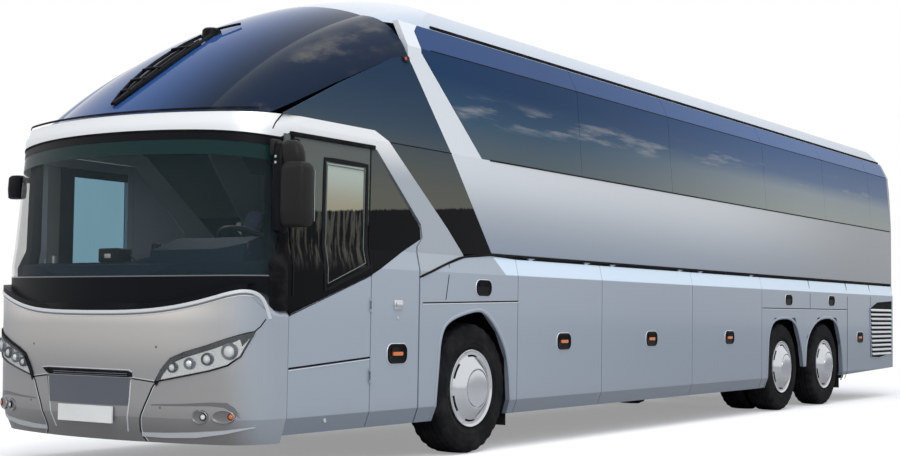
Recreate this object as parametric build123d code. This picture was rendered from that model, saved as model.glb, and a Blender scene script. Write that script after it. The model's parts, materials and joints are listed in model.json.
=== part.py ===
"""Three-axle high-deck touring coach with a domed upper screen, in separate named parts.

+Z is up, the front faces -Y and +X is the coach's left-hand side. The origin lies on the road
under the middle of the coach. All sizes are millimetres; places along the coach are written as
distances behind the front axle and turned into Y by at().
"""
import math
import os

from build123d import *

# --- overall sizes -------------------------------------------------------------------------
LENGTH = 13990.0
WIDTH = 2550.0
FRONT_OVERHANG = 2860.0
WHEELBASE = 6710.0          # front axle to drive axle
TAG_SPACING = 1470.0        # drive axle to tag axle
CROWN_Z = 3690.0
CLEAR_OF_ROOF = CROWN_Z + 300.0     # height above everything, for shapes that cut

HALF = WIDTH / 2
FRONT_AXLE_Y = FRONT_OVERHANG - LENGTH / 2
REAR = LENGTH - FRONT_OVERHANG   # rear face, behind the front axle

WALL = 50.0                 # doors, flaps and side walls
GLASS = 16.0
GAP = 8.0                   # seam beside anything that opens
TOUCH = 0.3                 # between curved faces of different parts
FIT = 0.5                   # radial room round spindles and pins

# --- side section: height and inset from the widest line ------------------------------------
SILL_Z, SILL_INSET = 285.0, 50.0
TUCK_Z, TUCK_INSET = 400.0, 7.0
WAIST_Z = 1410.0
SHOULDER_Z, SHOULDER_INSET = 1545.0, 30.0
GUTTER_Z = 1575.0           # lower edge of the upper side wall, over the black gutter
BELT_Z, BELT_INSET = 2330.0, 22.0
FOLD_Z, FOLD_INSET = 3100.0, 80.0
DRIP_Z, DRIP_INSET = 3300.0, 175.0
EAVES_Z, EAVES_INSET = 3490.0, 345.0
SIDE_PROFILE = (
    (SILL_Z, SILL_INSET), (TUCK_Z, TUCK_INSET), (WAIST_Z, 0.0), (SHOULDER_Z, SHOULDER_INSET),
    (BELT_Z, BELT_INSET), (FOLD_Z, FOLD_INSET), (DRIP_Z, DRIP_INSET), (EAVES_Z, EAVES_INSET))

# --- front plan: (height, distance of the nose ahead of the front axle, side inset, corner radius) --
FRONT_SKIRT_Z = 235.0
NOSE_RADIUS = 2500.0        # glass and roof
NOSE_LINE = (
    (FRONT_SKIRT_Z, 2780.0, SILL_INSET + 12.0, 450.0), (TUCK_Z, 2840.0, TUCK_INSET, 450.0),
    (WAIST_Z, FRONT_OVERHANG, 0.0, 450.0), (SHOULDER_Z, 2850.0, SHOULDER_INSET, 450.0),
    (BELT_Z, 2757.0, BELT_INSET, 420.0), (FOLD_Z, 2510.0, FOLD_INSET, 650.0), (CROWN_Z, 2280.0, 150.0, 650.0))
FASCIA_RADIUS = 3170.0      # the front panel is blunter than the glass above it
FASCIA_LINE = (
    (FRONT_SKIRT_Z, 2780.0, SILL_INSET + 12.0, 337.0), (TUCK_Z, 2840.0, TUCK_INSET, 337.0), (WAIST_Z, FRONT_OVERHANG, 0.0, 337.0))
NOSE_BACK = 400.0           # the nose form runs this far behind the front axle

# --- domed upper screen: a body turned about a cross axis ------------------------------------
DOME_AXIS_D, DOME_AXIS_Z, DOME_R = 685.0, -1274.0, 5030.0
DOME_EDGE_D = -870.0        # rear edge of the dome glass
DOME_GLASS = 22.0
DOME_PROFILE = ((750.0, 130.0), (1060.0, 270.0), (1225.0, 545.0))  # half width, depth below the crown

# --- seams, behind the front axle -------------------------------------------------------------
SEAM_A, SEAM_B, SEAM_C, SEAM_D = -2270.0, -1375.0, -785.0, 630.0
SEAM_G = WHEELBASE - 725.0
SEAM_E = SEAM_D + 0.2764 * (SEAM_G - SEAM_D)
SEAM_F = SEAM_D + 0.6461 * (SEAM_G - SEAM_D)
SEAM_H = WHEELBASE + TAG_SPACING + 780.0
REAR_CORNER_D = REAR - 180.0        # where the side walls meet the rear wall
FIRST_PANE_D = 90.0
PANE_SHARES = (0.0, 0.1538, 0.3287, 0.5617, 0.7486, 0.9199, 1.0)
WINDOW_SEAMS = [FIRST_PANE_D + share * (REAR_CORNER_D - FIRST_PANE_D) for share in PANE_SHARES]

# --- front bands and glass --------------------------------------------------------------------
BAND_LOW_Z, BAND_HIGH_Z = 2275.0, 2430.0
A_PILLAR_D = -2340.0
SMILE = ((0.0, 1105.0), (500.0, 1120.0), (850.0, 1175.0), (1080.0, 1245.0), (1190.0, 1215.0), (HALF, 1060.0))
DOME_SEAM = ((-2320.0, 2405.0), (-1690.0, 2700.0), (-1040.0, 2976.0), (DOME_EDGE_D, 3010.0))
STRIPE_LEFT = ((-823.0, 2957.0), (-349.0, BELT_Z), (262.0, GUTTER_Z))
STRIPE_RIGHT = ((-688.0, 3065.0), (90.0, BELT_Z))
BAND_TOP = ((-1327.0, 2400.0), (-1164.0, 2340.0), (-382.0, 1745.0), (-165.0, 1560.0))
GUTTER_SLOPE = ((-149.0, 1540.0), (-413.0, 1475.0), (SEAM_C, 1365.0))
DOOR_SLOPE = ((SEAM_C, 1600.0), (-722.0, 1665.0), (-745.0, 1745.0), (-1305.0, 2255.0))

# --- hinges of flaps and doors ------------------------------------------------------------------
HINGE_DROP = 15.0           # pin axis above the top edge of a flap
LUG_R, PIN_R, LUG_T, BARREL_L = 9.0, 5.0, 20.0, 60.0
FLAP_HINGE_Z = SHOULDER_Z + HINGE_DROP
FLAP_HINGE_X = HALF - SHOULDER_INSET - 2.0
DOOR_HINGE_X, DOOR_HINGE_D, DOOR_HINGE_ZS = HALF + 9.0, SEAM_B - GAP / 2, (650.0, 1150.0)

# --- wheels -------------------------------------------------------------------------------------
TYRE_R, TYRE_W, TYRE_BORE = 511.0, 298.0, 286.0
TREAD_W = 250.0
HUB_Z = TYRE_R
TYRE_FACE_X = 1235.0
TWIN_SPACING = 335.0
BARREL_R = 262.0
SPINDLE_R, DRIVE_SPINDLE_R = 45.0, 60.0
KINGPIN_X, KINGPIN_R = 900.0, 22.0

# --- floors -------------------------------------------------------------------------------------
BAY_FLOOR_Z, DECK_Z, DECK_T, CAB_FLOOR_Z = 330.0, 1420.0, 40.0, 800.0
SEAT_PITCH, SEAT_DEPTH, FIRST_ROW_D = 800.0, 720.0, 400.0
SEAT_ROWS = 1 + int((REAR_CORNER_D - 1000.0 - SEAT_DEPTH - FIRST_ROW_D) / SEAT_PITCH)


def at(distance):
    """Y of a place given as a distance behind the front axle."""
    return FRONT_AXLE_Y + distance


def side_x(z, inward=0.0):
    """Half width of the body at a height, moved inwards."""
    for (z0, i0), (z1, i1) in zip(SIDE_PROFILE, SIDE_PROFILE[1:]):
        if z <= z1:
            break
    share = max(0.0, (z - z0) / (z1 - z0))
    return HALF - i0 - share * (i1 - i0) - inward


def nose_at(z):
    """How far the nose reaches ahead of the front axle at a height."""
    for (z0, n0, _, _), (z1, n1, _, _) in zip(FASCIA_LINE, FASCIA_LINE[1:]):
        if z <= z1:
            break
    return n0 + (z - z0) / (z1 - z0) * (n1 - n0)


def box(x0, x1, d0, d1, z0, z1):
    """Box between two corners, its length given behind the front axle."""
    return Pos((x0 + x1) / 2, at((d0 + d1) / 2), (z0 + z1) / 2) * Box(abs(x1 - x0), abs(d1 - d0), abs(z1 - z0))


def side_prism(outline, x0=-HALF - 100, x1=HALF + 100):
    """Prism across the coach from an outline of (distance, height) points."""
    face = make_face(Polyline([(x0, at(d), z) for d, z in outline], close=True))
    return extrude(face, amount=x1 - x0, dir=(1, 0, 0))


def front_prism(outline, d0, d1):
    """Prism along the coach from an outline of (x, height) points."""
    face = make_face(Polyline([(x, at(d0), z) for x, z in outline], close=True))
    return extrude(face, amount=d1 - d0, dir=(0, 1, 0))


def skin(d0, d1, z0, z1, thick, inward=0.0):
    """Left-hand strip of the side between two heights, along a stretch of the coach."""
    heights = [z0] + [z for z, _ in SIDE_PROFILE if z0 < z < z1] + [z1]
    outer = [(side_x(z, inward), z) for z in heights]
    inner = [(side_x(z, inward + thick), z) for z in reversed(heights)]
    return front_prism(outer + inner, d0, d1)


def side_piece(outline, thick=WALL, inward=0.0):
    """Left-hand panel of any outline, following the side section."""
    ds = [d for d, _ in outline]
    zs = [z for _, z in outline]
    return skin(min(ds), max(ds), min(zs), max(zs), thick, inward) & side_prism(outline, 0.0)


def rect(d0, d1, z0, z1):
    return [(d0, z0), (d1, z0), (d1, z1), (d0, z1)]


def right(shape):
    return mirror(shape, Plane.YZ)


def both(shape):
    return [shape, right(shape)]


def lathe_x(points, x_sign=1.0):
    """Body turned about the X axis from (x, radius) points."""
    face = make_face(Polyline([(x_sign * x, 0, r) for x, r in points], close=True))
    return revolve(face, Axis.X)


def round_bar(a, b, r):
    """Cylinder of radius r from point a to point b."""
    line = Vector(*b) - Vector(*a)
    middle = (Vector(*a) + Vector(*b)) / 2
    return Plane(origin=middle, z_dir=line) * Cylinder(r, line.length)


def hinge(a, towards, reach_a, reach_b, gap):
    """Pin hinge centred on a, its pin along towards: (barrel with pin, pair of lugs).

    reach_a and reach_b are the vectors from the pin to the leaf's edge and to the frame's edge.
    """
    a, along = Vector(*a), Vector(*towards)
    half = BARREL_L / 2
    leaf = round_bar(a - along * half, a + along * half, LUG_R - 1)
    leaf += round_bar(a - along * (half + LUG_T), a + along * (half + LUG_T), PIN_R)
    leaf += web(a, along, BARREL_L, reach_a)
    lugs = Part()
    for side in (1, -1):
        middle = a + along * side * (half + gap + LUG_T / 2)
        lug = round_bar(middle - along * LUG_T / 2, middle + along * LUG_T / 2, LUG_R)
        lug += web(middle, along, LUG_T, reach_b)
        lugs += lug - round_bar(middle - along * LUG_T, middle + along * LUG_T, PIN_R + FIT)
    return leaf, lugs


def web(middle, along, length, reach):
    """Flat web from a pin to the edge that it is fixed to."""
    reach = Vector(*reach)
    plane = Plane(origin=middle + reach / 2, x_dir=along, z_dir=reach)
    return plane * Box(length, 10, reach.length)


def save(name, *shapes):
    """Write the solids of one part to parts/NAME.step."""
    solids = [s for shape in shapes for s in (shape.solids() if hasattr(shape, "solids") else shape)]
    export_step(Compound(children=solids), f"parts/{name}.step")


# --- body forms ----------------------------------------------------------------------------------
def plan_face(radius, z, nose, inset, corner_radius, inward):
    """Plan of the nose at one height: big front arc, corner arcs and straight sides."""
    front, corner = radius - inward, corner_radius - inward
    half = HALF - inset - inward
    tip = -nose + inward
    corner_d = tip + front - math.sqrt((front - corner) ** 2 - (half - corner) ** 2)
    lean = math.asin((half - corner) / (front - corner))
    join = (front * math.sin(lean), at(tip + front * (1 - math.cos(lean))))
    mid_turn = (lean + math.pi / 2) / 2
    mid = (half - corner + corner * math.sin(mid_turn), at(corner_d) - corner * math.cos(mid_turn))
    side_start, back = (half, at(corner_d)), (half, at(NOSE_BACK))
    flip = lambda p: (-p[0], p[1])
    edges = [
        ThreePointArc(flip(join), (0, at(tip)), join), ThreePointArc(join, mid, side_start),
        Line(side_start, back), Line(back, flip(back)), Line(flip(back), flip(side_start)),
        ThreePointArc(flip(side_start), flip(mid), flip(join))]
    return Pos(0, 0, z) * make_face(edges)


def nose_form(inward=0.0):
    """Solid front of the coach up to the crown, shrunk inwards."""
    return loft([plan_face(NOSE_RADIUS, *row, inward) for row in NOSE_LINE], ruled=True)


def fascia_form(inward=0.0):
    """Solid front panel up to the waist, shrunk inwards."""
    return loft([plan_face(FASCIA_RADIUS, *row, inward) for row in FASCIA_LINE], ruled=True)


def dome_form(inward=0.0):
    """Body turned about the cross axis, whose rim is the domed front of the roof."""
    (x1, d1), (x2, d2), (x3, d3) = DOME_PROFILE
    r = DOME_R - inward
    top, shoulder, side = (0, r), (x1, r - d1), (x3 - inward, r - d3)
    edges = [
        ThreePointArc((-x1, r - d1), top, shoulder), ThreePointArc(shoulder, (x2 - inward / 2, r - d2), side),
        Line(side, (x3 + 60 - inward, r - 2200)), Line((x3 + 60 - inward, r - 2200), (-x3 - 60 + inward, r - 2200)),
        Line((-x3 - 60 + inward, r - 2200), (-side[0], side[1])),
        ThreePointArc((-side[0], side[1]), (-x2 + inward / 2, r - d2), (-x1, r - d1))]
    face = Plane.XZ * make_face(edges)
    turned = revolve(face, Axis.X, revolution_arc=100)
    return Pos(0, at(DOME_AXIS_D), DOME_AXIS_Z) * turned


def main_section(inward=0.0):
    """Cross-section of the coach behind the dome."""
    right_side = [(side_x(z, inward), z) for z, _ in SIDE_PROFILE]
    base = (right_side[0][0], SILL_Z + (inward if inward else 0.0))
    right_side[0] = base
    flip = lambda p: (-p[0], p[1])
    eaves = right_side[-1] if not inward else (right_side[-1][0], EAVES_Z - inward)
    right_side[-1] = eaves
    edges = [Line(a, b) for a, b in zip(right_side, right_side[1:])]
    edges += [ThreePointArc(eaves, (0, CROWN_Z - inward), flip(eaves))]
    edges += [Line(flip(b), flip(a)) for a, b in zip(right_side, right_side[1:])]
    edges += [Line(flip(base), base)]
    return make_face(edges)


REAR_PROFILE = ((-200.0, 400.0), (-20.0, 1150.0), (0.0, 1700.0), (-20.0, 2400.0), (-110.0, 3050.0))
REAR_TOP_R = 420.0
REAR_PLAN_R = 260.0


def main_form(inward=0.0):
    """Solid coach behind the dome with its rounded tail, shrunk inwards."""
    section = Plane.XZ * main_section(inward)
    prism = Pos(0, at(REAR), 0) * extrude(section, amount=REAR - DOME_EDGE_D)
    tail = [(REAR + d - inward, z) for d, z in REAR_PROFILE]
    low = [(DOME_EDGE_D - 10, 0.0), (tail[0][0], 0.0)]
    top = CROWN_Z - inward
    end = tail[-1]
    roof = (end[0] - REAR_TOP_R, top + 5)
    mid = (end[0] - REAR_TOP_R * 0.22, end[1] + (top - end[1]) * 0.68)
    pts = [(0, at(d), z) for d, z in low + tail]
    edges = [Line(a, b) for a, b in zip(pts, pts[1:])]
    p_end, p_mid, p_roof = [(0, at(d), z) for d, z in (end, mid, roof)]
    front_top = (0, at(DOME_EDGE_D - 10), top + 5)
    edges += [ThreePointArc(p_end, p_mid, p_roof), Line(p_roof, front_top), Line(front_top, pts[0])]
    profile = extrude(make_face(edges), amount=HALF + 50, dir=(1, 0, 0), both=True)
    r = REAR_PLAN_R - inward
    plan = Pos(0, at((REAR + DOME_EDGE_D) / 2), 0) * Box(2 * (HALF - inward), REAR - DOME_EDGE_D - 2 * inward, 3 * CROWN_Z)
    plan = fillet(plan.edges().filter_by(Axis.Z).group_by(Axis.Y)[-1], r)
    return prism & profile & plan


nose_outer, nose_inner, nose_glass = nose_form(), nose_form(WALL), nose_form(GLASS)
dome_outer, dome_inner = dome_form(), dome_form(DOME_GLASS)
main_outer, main_inner = main_form(), main_form(WALL)
nose_shell = nose_outer - nose_inner

os.makedirs("parts", exist_ok=True)

# --- front ---------------------------------------------------------------------------------------
FAR = 3200.0
smile_line = [(x, z) for x, z in SMILE]
smile = [(-x, z) for x, z in reversed(smile_line[1:])] + smile_line
fascia_area = front_prism([(-HALF - 50, 0)] + smile + [(HALF + 50, 0)], -FAR, SEAM_A)
screen_area = front_prism(smile + [(HALF + 50, BAND_LOW_Z), (-HALF - 50, BAND_LOW_Z)], -FAR, A_PILLAR_D)

LAMP_OUTLINE = ((592.0, 636.0), (706.0, 788.0), (1218.0, 964.0), (1158.0, 808.0), (1092.0, 748.0))
LAMP_T = 35.0
lamp_area = front_prism(LAMP_OUTLINE, -FAR, -2100)
fascia_outer = fascia_form()
fascia = ((fascia_outer - nose_inner) & fascia_area) - lamp_area - right(lamp_area)
fogs = []
for x, rx in ((915.0, 56.0), (1066.0, 72.0)):
    bowl = Pos(x, at(-2600), 418) * Rot(90, 0, 0) * extrude(Ellipse(rx, 42), amount=400, both=True)
    fogs += both(bowl & (fascia_form(18) - nose_inner))
    fascia = fascia - bowl - right(bowl)
save("front_fascia", fascia)
headlamps = both((fascia_outer - fascia_form(LAMP_T)) & lamp_area)
save("windscreen", (nose_outer - nose_glass) & screen_area)

band_low = [(-FAR, BAND_LOW_Z), (A_PILLAR_D + 30, BAND_LOW_Z)] + [(d, z + GAP) for d, z in reversed(DOOR_SLOPE[3:])]
band_outline = band_low + [
    (-738.0, 1758.0), (-712.0, 1660.0), (SEAM_C + GAP, 1590.0), (SEAM_C + GAP, 1372.0)]
band_outline += list(reversed(GUTTER_SLOPE[:2])) + list(reversed(BAND_TOP))
band_outline += [(-2320.0, 2402.0), (-FAR, BAND_HIGH_Z)]
save("front_band", nose_shell & side_prism(band_outline))

dome_area = side_prism([(-FAR, BAND_HIGH_Z)] + [(d, z + TOUCH) for d, z in DOME_SEAM] + [(DOME_EDGE_D, CLEAR_OF_ROOF), (-FAR, CLEAR_OF_ROOF)])
dome = (dome_outer & nose_outer) - (dome_inner & nose_form(DOME_GLASS))
save("dome_screen", dome & dome_area)

quarter = [(d, z) for d, z in DOME_SEAM] + [(DOME_EDGE_D, 3000.0)] + list(STRIPE_LEFT)
quarter += list(reversed(BAND_TOP)) + [(-2320.0, 2403.0)]
cab_window = [
    (A_PILLAR_D + 30, 1100.0), (SEAM_A, 1100.0), (SEAM_A, 1076.0), (SEAM_B - GAP, 1360.0), (SEAM_B - GAP, 2262.0),
    (A_PILLAR_D + 30, 2270.0)]
save("cab_glass", *both(side_piece(quarter, GLASS)), side_piece(cab_window, GLASS))

# --- cab posts behind the glass -------------------------------------------------------------------
POST_T = 55.0
a_posts = (nose_glass - nose_form(GLASS + POST_T)) & box(-HALF, HALF, A_PILLAR_D - 40, A_PILLAR_D + 70, 1000, BAND_LOW_Z - 6)
a_posts = a_posts - fascia_area
posts = [a_posts]
post_top = DRIP_Z
for d in WINDOW_SEAMS[1:-1]:
    posts += both(side_piece(rect(d - 45, d + 45, BELT_Z, post_top), POST_T, GLASS))
rear_post = side_piece(rect(REAR_CORNER_D - 90, REAR_CORNER_D, BELT_Z, post_top), POST_T, GLASS)
posts += both(rear_post)
save("window_posts", *posts)

# --- side walls --------------------------------------------------------------------------------------
wall_outline = [(REAR_CORNER_D, GUTTER_Z), (REAR_CORNER_D, BELT_Z), STRIPE_RIGHT[1], STRIPE_RIGHT[0]]
wall_outline += [(-690.0, 3240.0), (-620.0, DRIP_Z), (DOME_EDGE_D + 5, DRIP_Z), (DOME_EDGE_D + 5, 3005.0)]
wall_outline += list(STRIPE_LEFT)
wall_left = side_piece(wall_outline)
BAYS = (("1", SEAM_D, SEAM_E), ("2", SEAM_E, SEAM_F), ("3", SEAM_F, SEAM_G))
flap_barrels = {}
for label, d0, d1 in BAYS:
    flap_barrels[label] = Part()
    for d in (d0 + 250, d1 - 250):
        barrel_part, lugs = hinge(
            (FLAP_HINGE_X, at(d), FLAP_HINGE_Z), (0, 1, 0), (-8, 0, -HINGE_DROP - 4), (-8, 0, HINGE_DROP + 4), TOUCH)
        flap_barrels[label] += barrel_part
        wall_left += lugs
MID_DOOR = (SEAM_G - 925.0, SEAM_G - 65.0)
MID_DOOR_TOP = 2250.0
mid_cut = box(-HALF - 100, -HALF + 200, MID_DOOR[0] - GAP, MID_DOOR[1] + GAP, 0, MID_DOOR_TOP + GAP)
save("side_wall_left", wall_left)
save("side_wall_right", right(wall_left) - mid_cut)

panes = []
for i, (d0, d1) in enumerate(zip(WINDOW_SEAMS, WINDOW_SEAMS[1:])):
    outline = rect(d0, d1 - 6, BELT_Z, DRIP_Z)
    if i == 0:
        outline = [(d0 + 6, BELT_Z), (d1 - 6, BELT_Z), (d1 - 6, DRIP_Z), (-615.0, DRIP_Z), (-684.0, 3240.0), (-682.0, 3068.0)]
    panes.append(side_piece(outline, GLASS))
save("side_windows_left", *panes)
save("side_windows_right", *[right(p) for p in panes])

# --- roof --------------------------------------------------------------------------------------------
roof_main = (main_outer - main_inner) & box(-HALF, HALF, 0, REAR + 100, DRIP_Z, CLEAR_OF_ROOF)
nose_roof = (main_outer & dome_outer) - (main_form(WALL) & dome_form(WALL))
roof_front = nose_roof & box(-HALF, HALF, DOME_EDGE_D + 5, 0, DRIP_Z, CLEAR_OF_ROOF)
save("roof_shell", roof_main + roof_front)

# --- rear ---------------------------------------------------------------------------------------------
REAR_WINDOW = (1000.0, 2420.0, 3120.0)
ENGINE_LID = (930.0, 560.0, 1480.0)
rear_shell = (main_outer - main_inner) & box(-HALF, HALF, REAR_CORNER_D, REAR + 100, 0, DRIP_Z)
rw, rz0, rz1 = REAR_WINDOW
ew, ez0, ez1 = ENGINE_LID
rear_shell = rear_shell - box(-rw, rw, REAR - 300, REAR + 100, rz0, rz1)
lid_cut = box(-ew - GAP, ew + GAP, REAR - 300, REAR + 100, ez0 - GAP, ez1 + 2 * HINGE_DROP)
tail_cut = box(1010, 1150, REAR - 300, REAR + 100, 1620, 2200)
rear_wall = rear_shell - lid_cut - tail_cut - right(tail_cut)
lid_hinge_d = REAR - 14.0
engine_lid = (main_outer - main_inner) & box(-ew, ew, REAR - 300, REAR + 100, ez0, ez1)
for x in (-600.0, 600.0):
    barrel_part, lugs = hinge(
        (x, at(lid_hinge_d), ez1 + HINGE_DROP), (1, 0, 0), (0, -8, -HINGE_DROP - 4), (0, -8, HINGE_DROP + 4), TOUCH)
    engine_lid += barrel_part
    rear_wall += lugs
save("rear_wall", rear_wall)
save("rear_window", (main_outer - main_form(GLASS)) & box(-rw, rw, REAR - 300, REAR + 100, rz0, rz1))
save("lamps", *headlamps, *fogs, *both((main_outer - main_inner) & tail_cut))
save("engine_lid", engine_lid)

# --- lower sides -----------------------------------------------------------------------------------
LID_TOP_Z = SHOULDER_Z
FRONT_ARCH = ((-560, 0), (-525, 700), (-500, 925), (-405, 1045), (-60, 1125), (134, 1122), (355, 950), (500, 730), (570, 0))
drive_d, tag_d = WHEELBASE, WHEELBASE + TAG_SPACING
REAR_ARCH = (
    (drive_d - 570, 0), (drive_d - 530, 700), (drive_d - 500, 920), (drive_d - 330, 1085), (drive_d + 340, 1088),
    (drive_d + 560, 760), (drive_d + 640, 500), (drive_d + 690, 500), (drive_d + 740, 860), (tag_d - 330, 1095),
    (tag_d + 350, 1095), (tag_d + 560, 760), (tag_d + 640, 0))
front_panel = [(SEAM_C + GAP, SILL_Z), (SEAM_D - GAP, SILL_Z), (SEAM_D - GAP, LID_TOP_Z), (250.0, 1560.0), (-140.0, 1530.0), (-410.0, 1465.0), (SEAM_C + GAP, 1355.0)]
arch_front = side_piece(front_panel) - side_prism(FRONT_ARCH, 0)
tail_panel = [(SEAM_G, SILL_Z), (REAR_CORNER_D, SILL_Z + 120), (REAR_CORNER_D, LID_TOP_Z), (SEAM_G, LID_TOP_Z)]
arch_rear = side_piece(tail_panel) - side_prism(REAR_ARCH, 0)
corner_left = side_piece([(SEAM_A + 4, SILL_Z), (SEAM_B - GAP, SILL_Z), (SEAM_B - GAP, 1352.0), (SEAM_A + 4, 1062.0)])
door_barrels = Part()
for z in DOOR_HINGE_ZS:
    barrel_part, lugs = hinge((DOOR_HINGE_X, at(DOOR_HINGE_D), z), (0, 0, 1), (-12, 8, 0), (-12, -8, 0), TOUCH)
    door_barrels += barrel_part
    corner_left += lugs
corner_right = right(side_piece([(SEAM_B + 60, SILL_Z), (SEAM_C, SILL_Z)] + list(DOOR_SLOPE) + [(SEAM_B + 60, 2262.0)]))
link_right = right(side_piece(rect(SEAM_F + GAP, MID_DOOR[0] - GAP, SILL_Z, LID_TOP_Z)))
jamb_right = right(side_piece(rect(MID_DOOR[1] + GAP, SEAM_G + 1, SILL_Z, LID_TOP_Z)))
save("lower_panels_left", arch_front, arch_rear, corner_left)
save("lower_panels_right", right(arch_front), right(arch_rear) + jamb_right, corner_right, link_right)

# --- luggage flaps and doors --------------------------------------------------------------------------
for label, d0, d1 in BAYS:
    flap = side_piece(rect(d0, d1 - GAP, SILL_Z, LID_TOP_Z)) + flap_barrels[label]
    save(f"luggage_flap_left_{label}", flap)
    if d1 < MID_DOOR[0]:
        save(f"luggage_flap_right_{label}", right(flap))
DOOR_SKIN, DOOR_DROP, FRAME_SETBACK = 24.0, 12.0, 80.0
door_slope = [(d - GAP, z - DOOR_DROP) for d, z in DOOR_SLOPE]
frame_slope = [(d - FRAME_SETBACK, z - DOOR_DROP) for d, z in DOOR_SLOPE[1:3]]
frame_slope += [(SEAM_B + 8, DOOR_SLOPE[3][1] - DOOR_DROP - FRAME_SETBACK)]
door_skin = side_piece([(SEAM_B, SILL_Z), (SEAM_C - GAP, SILL_Z)] + door_slope + [(SEAM_B, 2250.0)], DOOR_SKIN)
door_frame = side_piece([(SEAM_B, SILL_Z), (SEAM_C - 15, SILL_Z), (SEAM_C - 15, 1560.0)] + frame_slope + [(SEAM_B, 2150.0)], WALL - DOOR_SKIN, DOOR_SKIN)
driver_pane = [(SEAM_B, 1362.0), (-737.0, 1648.0)] + door_slope[2:] + [(SEAM_B, 2250.0)]
driver_opening = [(SEAM_B + 60, 1440.0), (-860.0, 1670.0), (-885.0, 1725.0), (SEAM_B + 60, 2080.0)]
driver_door = door_skin + door_frame + door_barrels - side_prism(driver_opening, 0.0)
save("driver_door", driver_door - side_piece(driver_pane, GLASS + TOUCH))
save("driver_door_glass", side_piece(driver_pane, GLASS))
front_door_outline = [(SEAM_A + GAP + 4, SILL_Z), (SEAM_B + 60 - GAP, SILL_Z), (SEAM_B + 60 - GAP, 2258.0), (SEAM_A + GAP + 4, 2266.0)]
ARM_X, ARM_R, ARM_LEN, ARM_SETBACK, EYE_R, EYE_PIN_R = 1130.0, 22.0, 440.0, 75.0, 24.0, 10.0
ARM_H, ARM_T, PLATE_GAP, BRACKET_T = 50.0, 28.0, 3.0, 12.0
FRONT_DOOR_D = SEAM_A + GAP + 4
FRONT_ARM_Z, MID_ARM_Z = (430.0, 1500.0), (BAY_FLOOR_Z, 1300.0)
ARM_INSET = 190.0           # arms below the top and above the foot of their post


def arm_heights(span):
    return span[0] + ARM_INSET, span[1] - ARM_INSET


def door_bracket(front_edge, span):
    """Forked brackets with pins on the inside of a right-hand door."""
    bracket = Part()
    d = front_edge + ARM_SETBACK + ARM_LEN
    for z in arm_heights(span):
        for side in (1, -1):
            z_plate = z + side * (ARM_H / 2 + PLATE_GAP + BRACKET_T / 2)
            bracket += box(-side_x(z, WALL) - 5, -ARM_X + EYE_R, d - 22, d + 22, z_plate - BRACKET_T / 2, z_plate + BRACKET_T / 2)
        reach = ARM_H / 2 + PLATE_GAP + BRACKET_T
        bracket += round_bar((-ARM_X, at(d), z - reach), (-ARM_X, at(d), z + reach), EYE_PIN_R)
    return bracket


DOOR_RAIL, PANE_LAP = 60.0, 25.0
PANE_Z = (1400.0, 2190.0)


def glazed_door(name, outline, bracket):
    """Right-hand door with a pane set flush in a rebate round its upper opening."""
    d0, d1 = min(d for d, _ in outline) + DOOR_RAIL, max(d for d, _ in outline) - DOOR_RAIL
    lap = PANE_LAP
    opening = side_prism(rect(d0, d1, *PANE_Z), 0.0)
    rebate = side_piece(rect(d0 - lap, d1 + lap, PANE_Z[0] - lap, PANE_Z[1] + lap), GLASS + TOUCH)
    save(f"{name}_right", right(side_piece(outline) - opening - rebate) + bracket)
    save(f"{name}_glass", right(side_piece(rect(d0 - lap, d1 + lap, PANE_Z[0] - lap, PANE_Z[1] + lap), GLASS)))


glazed_door("door_front", front_door_outline, door_bracket(FRONT_DOOR_D, FRONT_ARM_Z))
glazed_door("door_middle", rect(*MID_DOOR, SILL_Z, MID_DOOR_TOP), door_bracket(MID_DOOR[0], MID_ARM_Z))

# --- structure -----------------------------------------------------------------------------------------
FLOOR_X = HALF - SILL_INSET - WALL - 20.0
BULKHEAD_T = 40.0
POST_W, ARCH_POST_W = 60.0, 40.0
TUNNEL_X, FRONT_TUNNEL_Z, REAR_TUNNEL_Z = 400.0, 690.0, 720.0
RAIL_X, RAIL_W, RAIL_Z0, RAIL_Z1 = 520.0, 80.0, 300.0, 400.0
deck_low = DECK_Z - DECK_T
frame = box(-FLOOR_X, FLOOR_X, SEAM_D, SEAM_G, BAY_FLOOR_Z - DECK_T, BAY_FLOOR_Z)
for d in (SEAM_E - BULKHEAD_T / 2, SEAM_F - BULKHEAD_T / 2):
    frame += box(-FLOOR_X, FLOOR_X, d, d + BULKHEAD_T, BAY_FLOOR_Z - DECK_T, deck_low)
for d in (SEAM_C + GAP, SEAM_G, SEAM_H, REAR_CORNER_D - 200):
    low = RAIL_Z1 + 40 if d > SEAM_H else SILL_Z + 20
    frame += box(-FLOOR_X, FLOOR_X, d, d + BULKHEAD_T, low, deck_low)
    frame += sum(both(skin(d, d + POST_W, low, deck_low, 75, WALL)), Part())
frame += box(-FLOOR_X, FLOOR_X, SEAM_D, SEAM_D + BULKHEAD_T, BAY_FLOOR_Z - DECK_T, deck_low)
arch_post = box(FLOOR_X - 55, FLOOR_X, SEAM_D - GAP - ARCH_POST_W, SEAM_D + 10, BAY_FLOOR_Z - DECK_T, deck_low)
arch_post += skin(SEAM_D - GAP - ARCH_POST_W, SEAM_D - GAP, BAY_FLOOR_Z - DECK_T, deck_low, 75, WALL)
frame += sum(both(arch_post), Part())
for d in (SEAM_F + GAP, MID_DOOR[0] - GAP - POST_W):
    frame += right(skin(d, d + POST_W, SILL_Z + 20, deck_low, 75, WALL))
    frame += box(-FLOOR_X, -FLOOR_X + 60, d, d + POST_W, BAY_FLOOR_Z - DECK_T, deck_low)
frame += box(-TUNNEL_X, TUNNEL_X, SEAM_C, SEAM_D, FRONT_TUNNEL_Z, deck_low)
frame += box(-TUNNEL_X, TUNNEL_X, SEAM_G, SEAM_H, REAR_TUNNEL_Z, deck_low)
TAIL_RAIL_END = REAR + REAR_PROFILE[0][0] - WALL - 10
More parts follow.
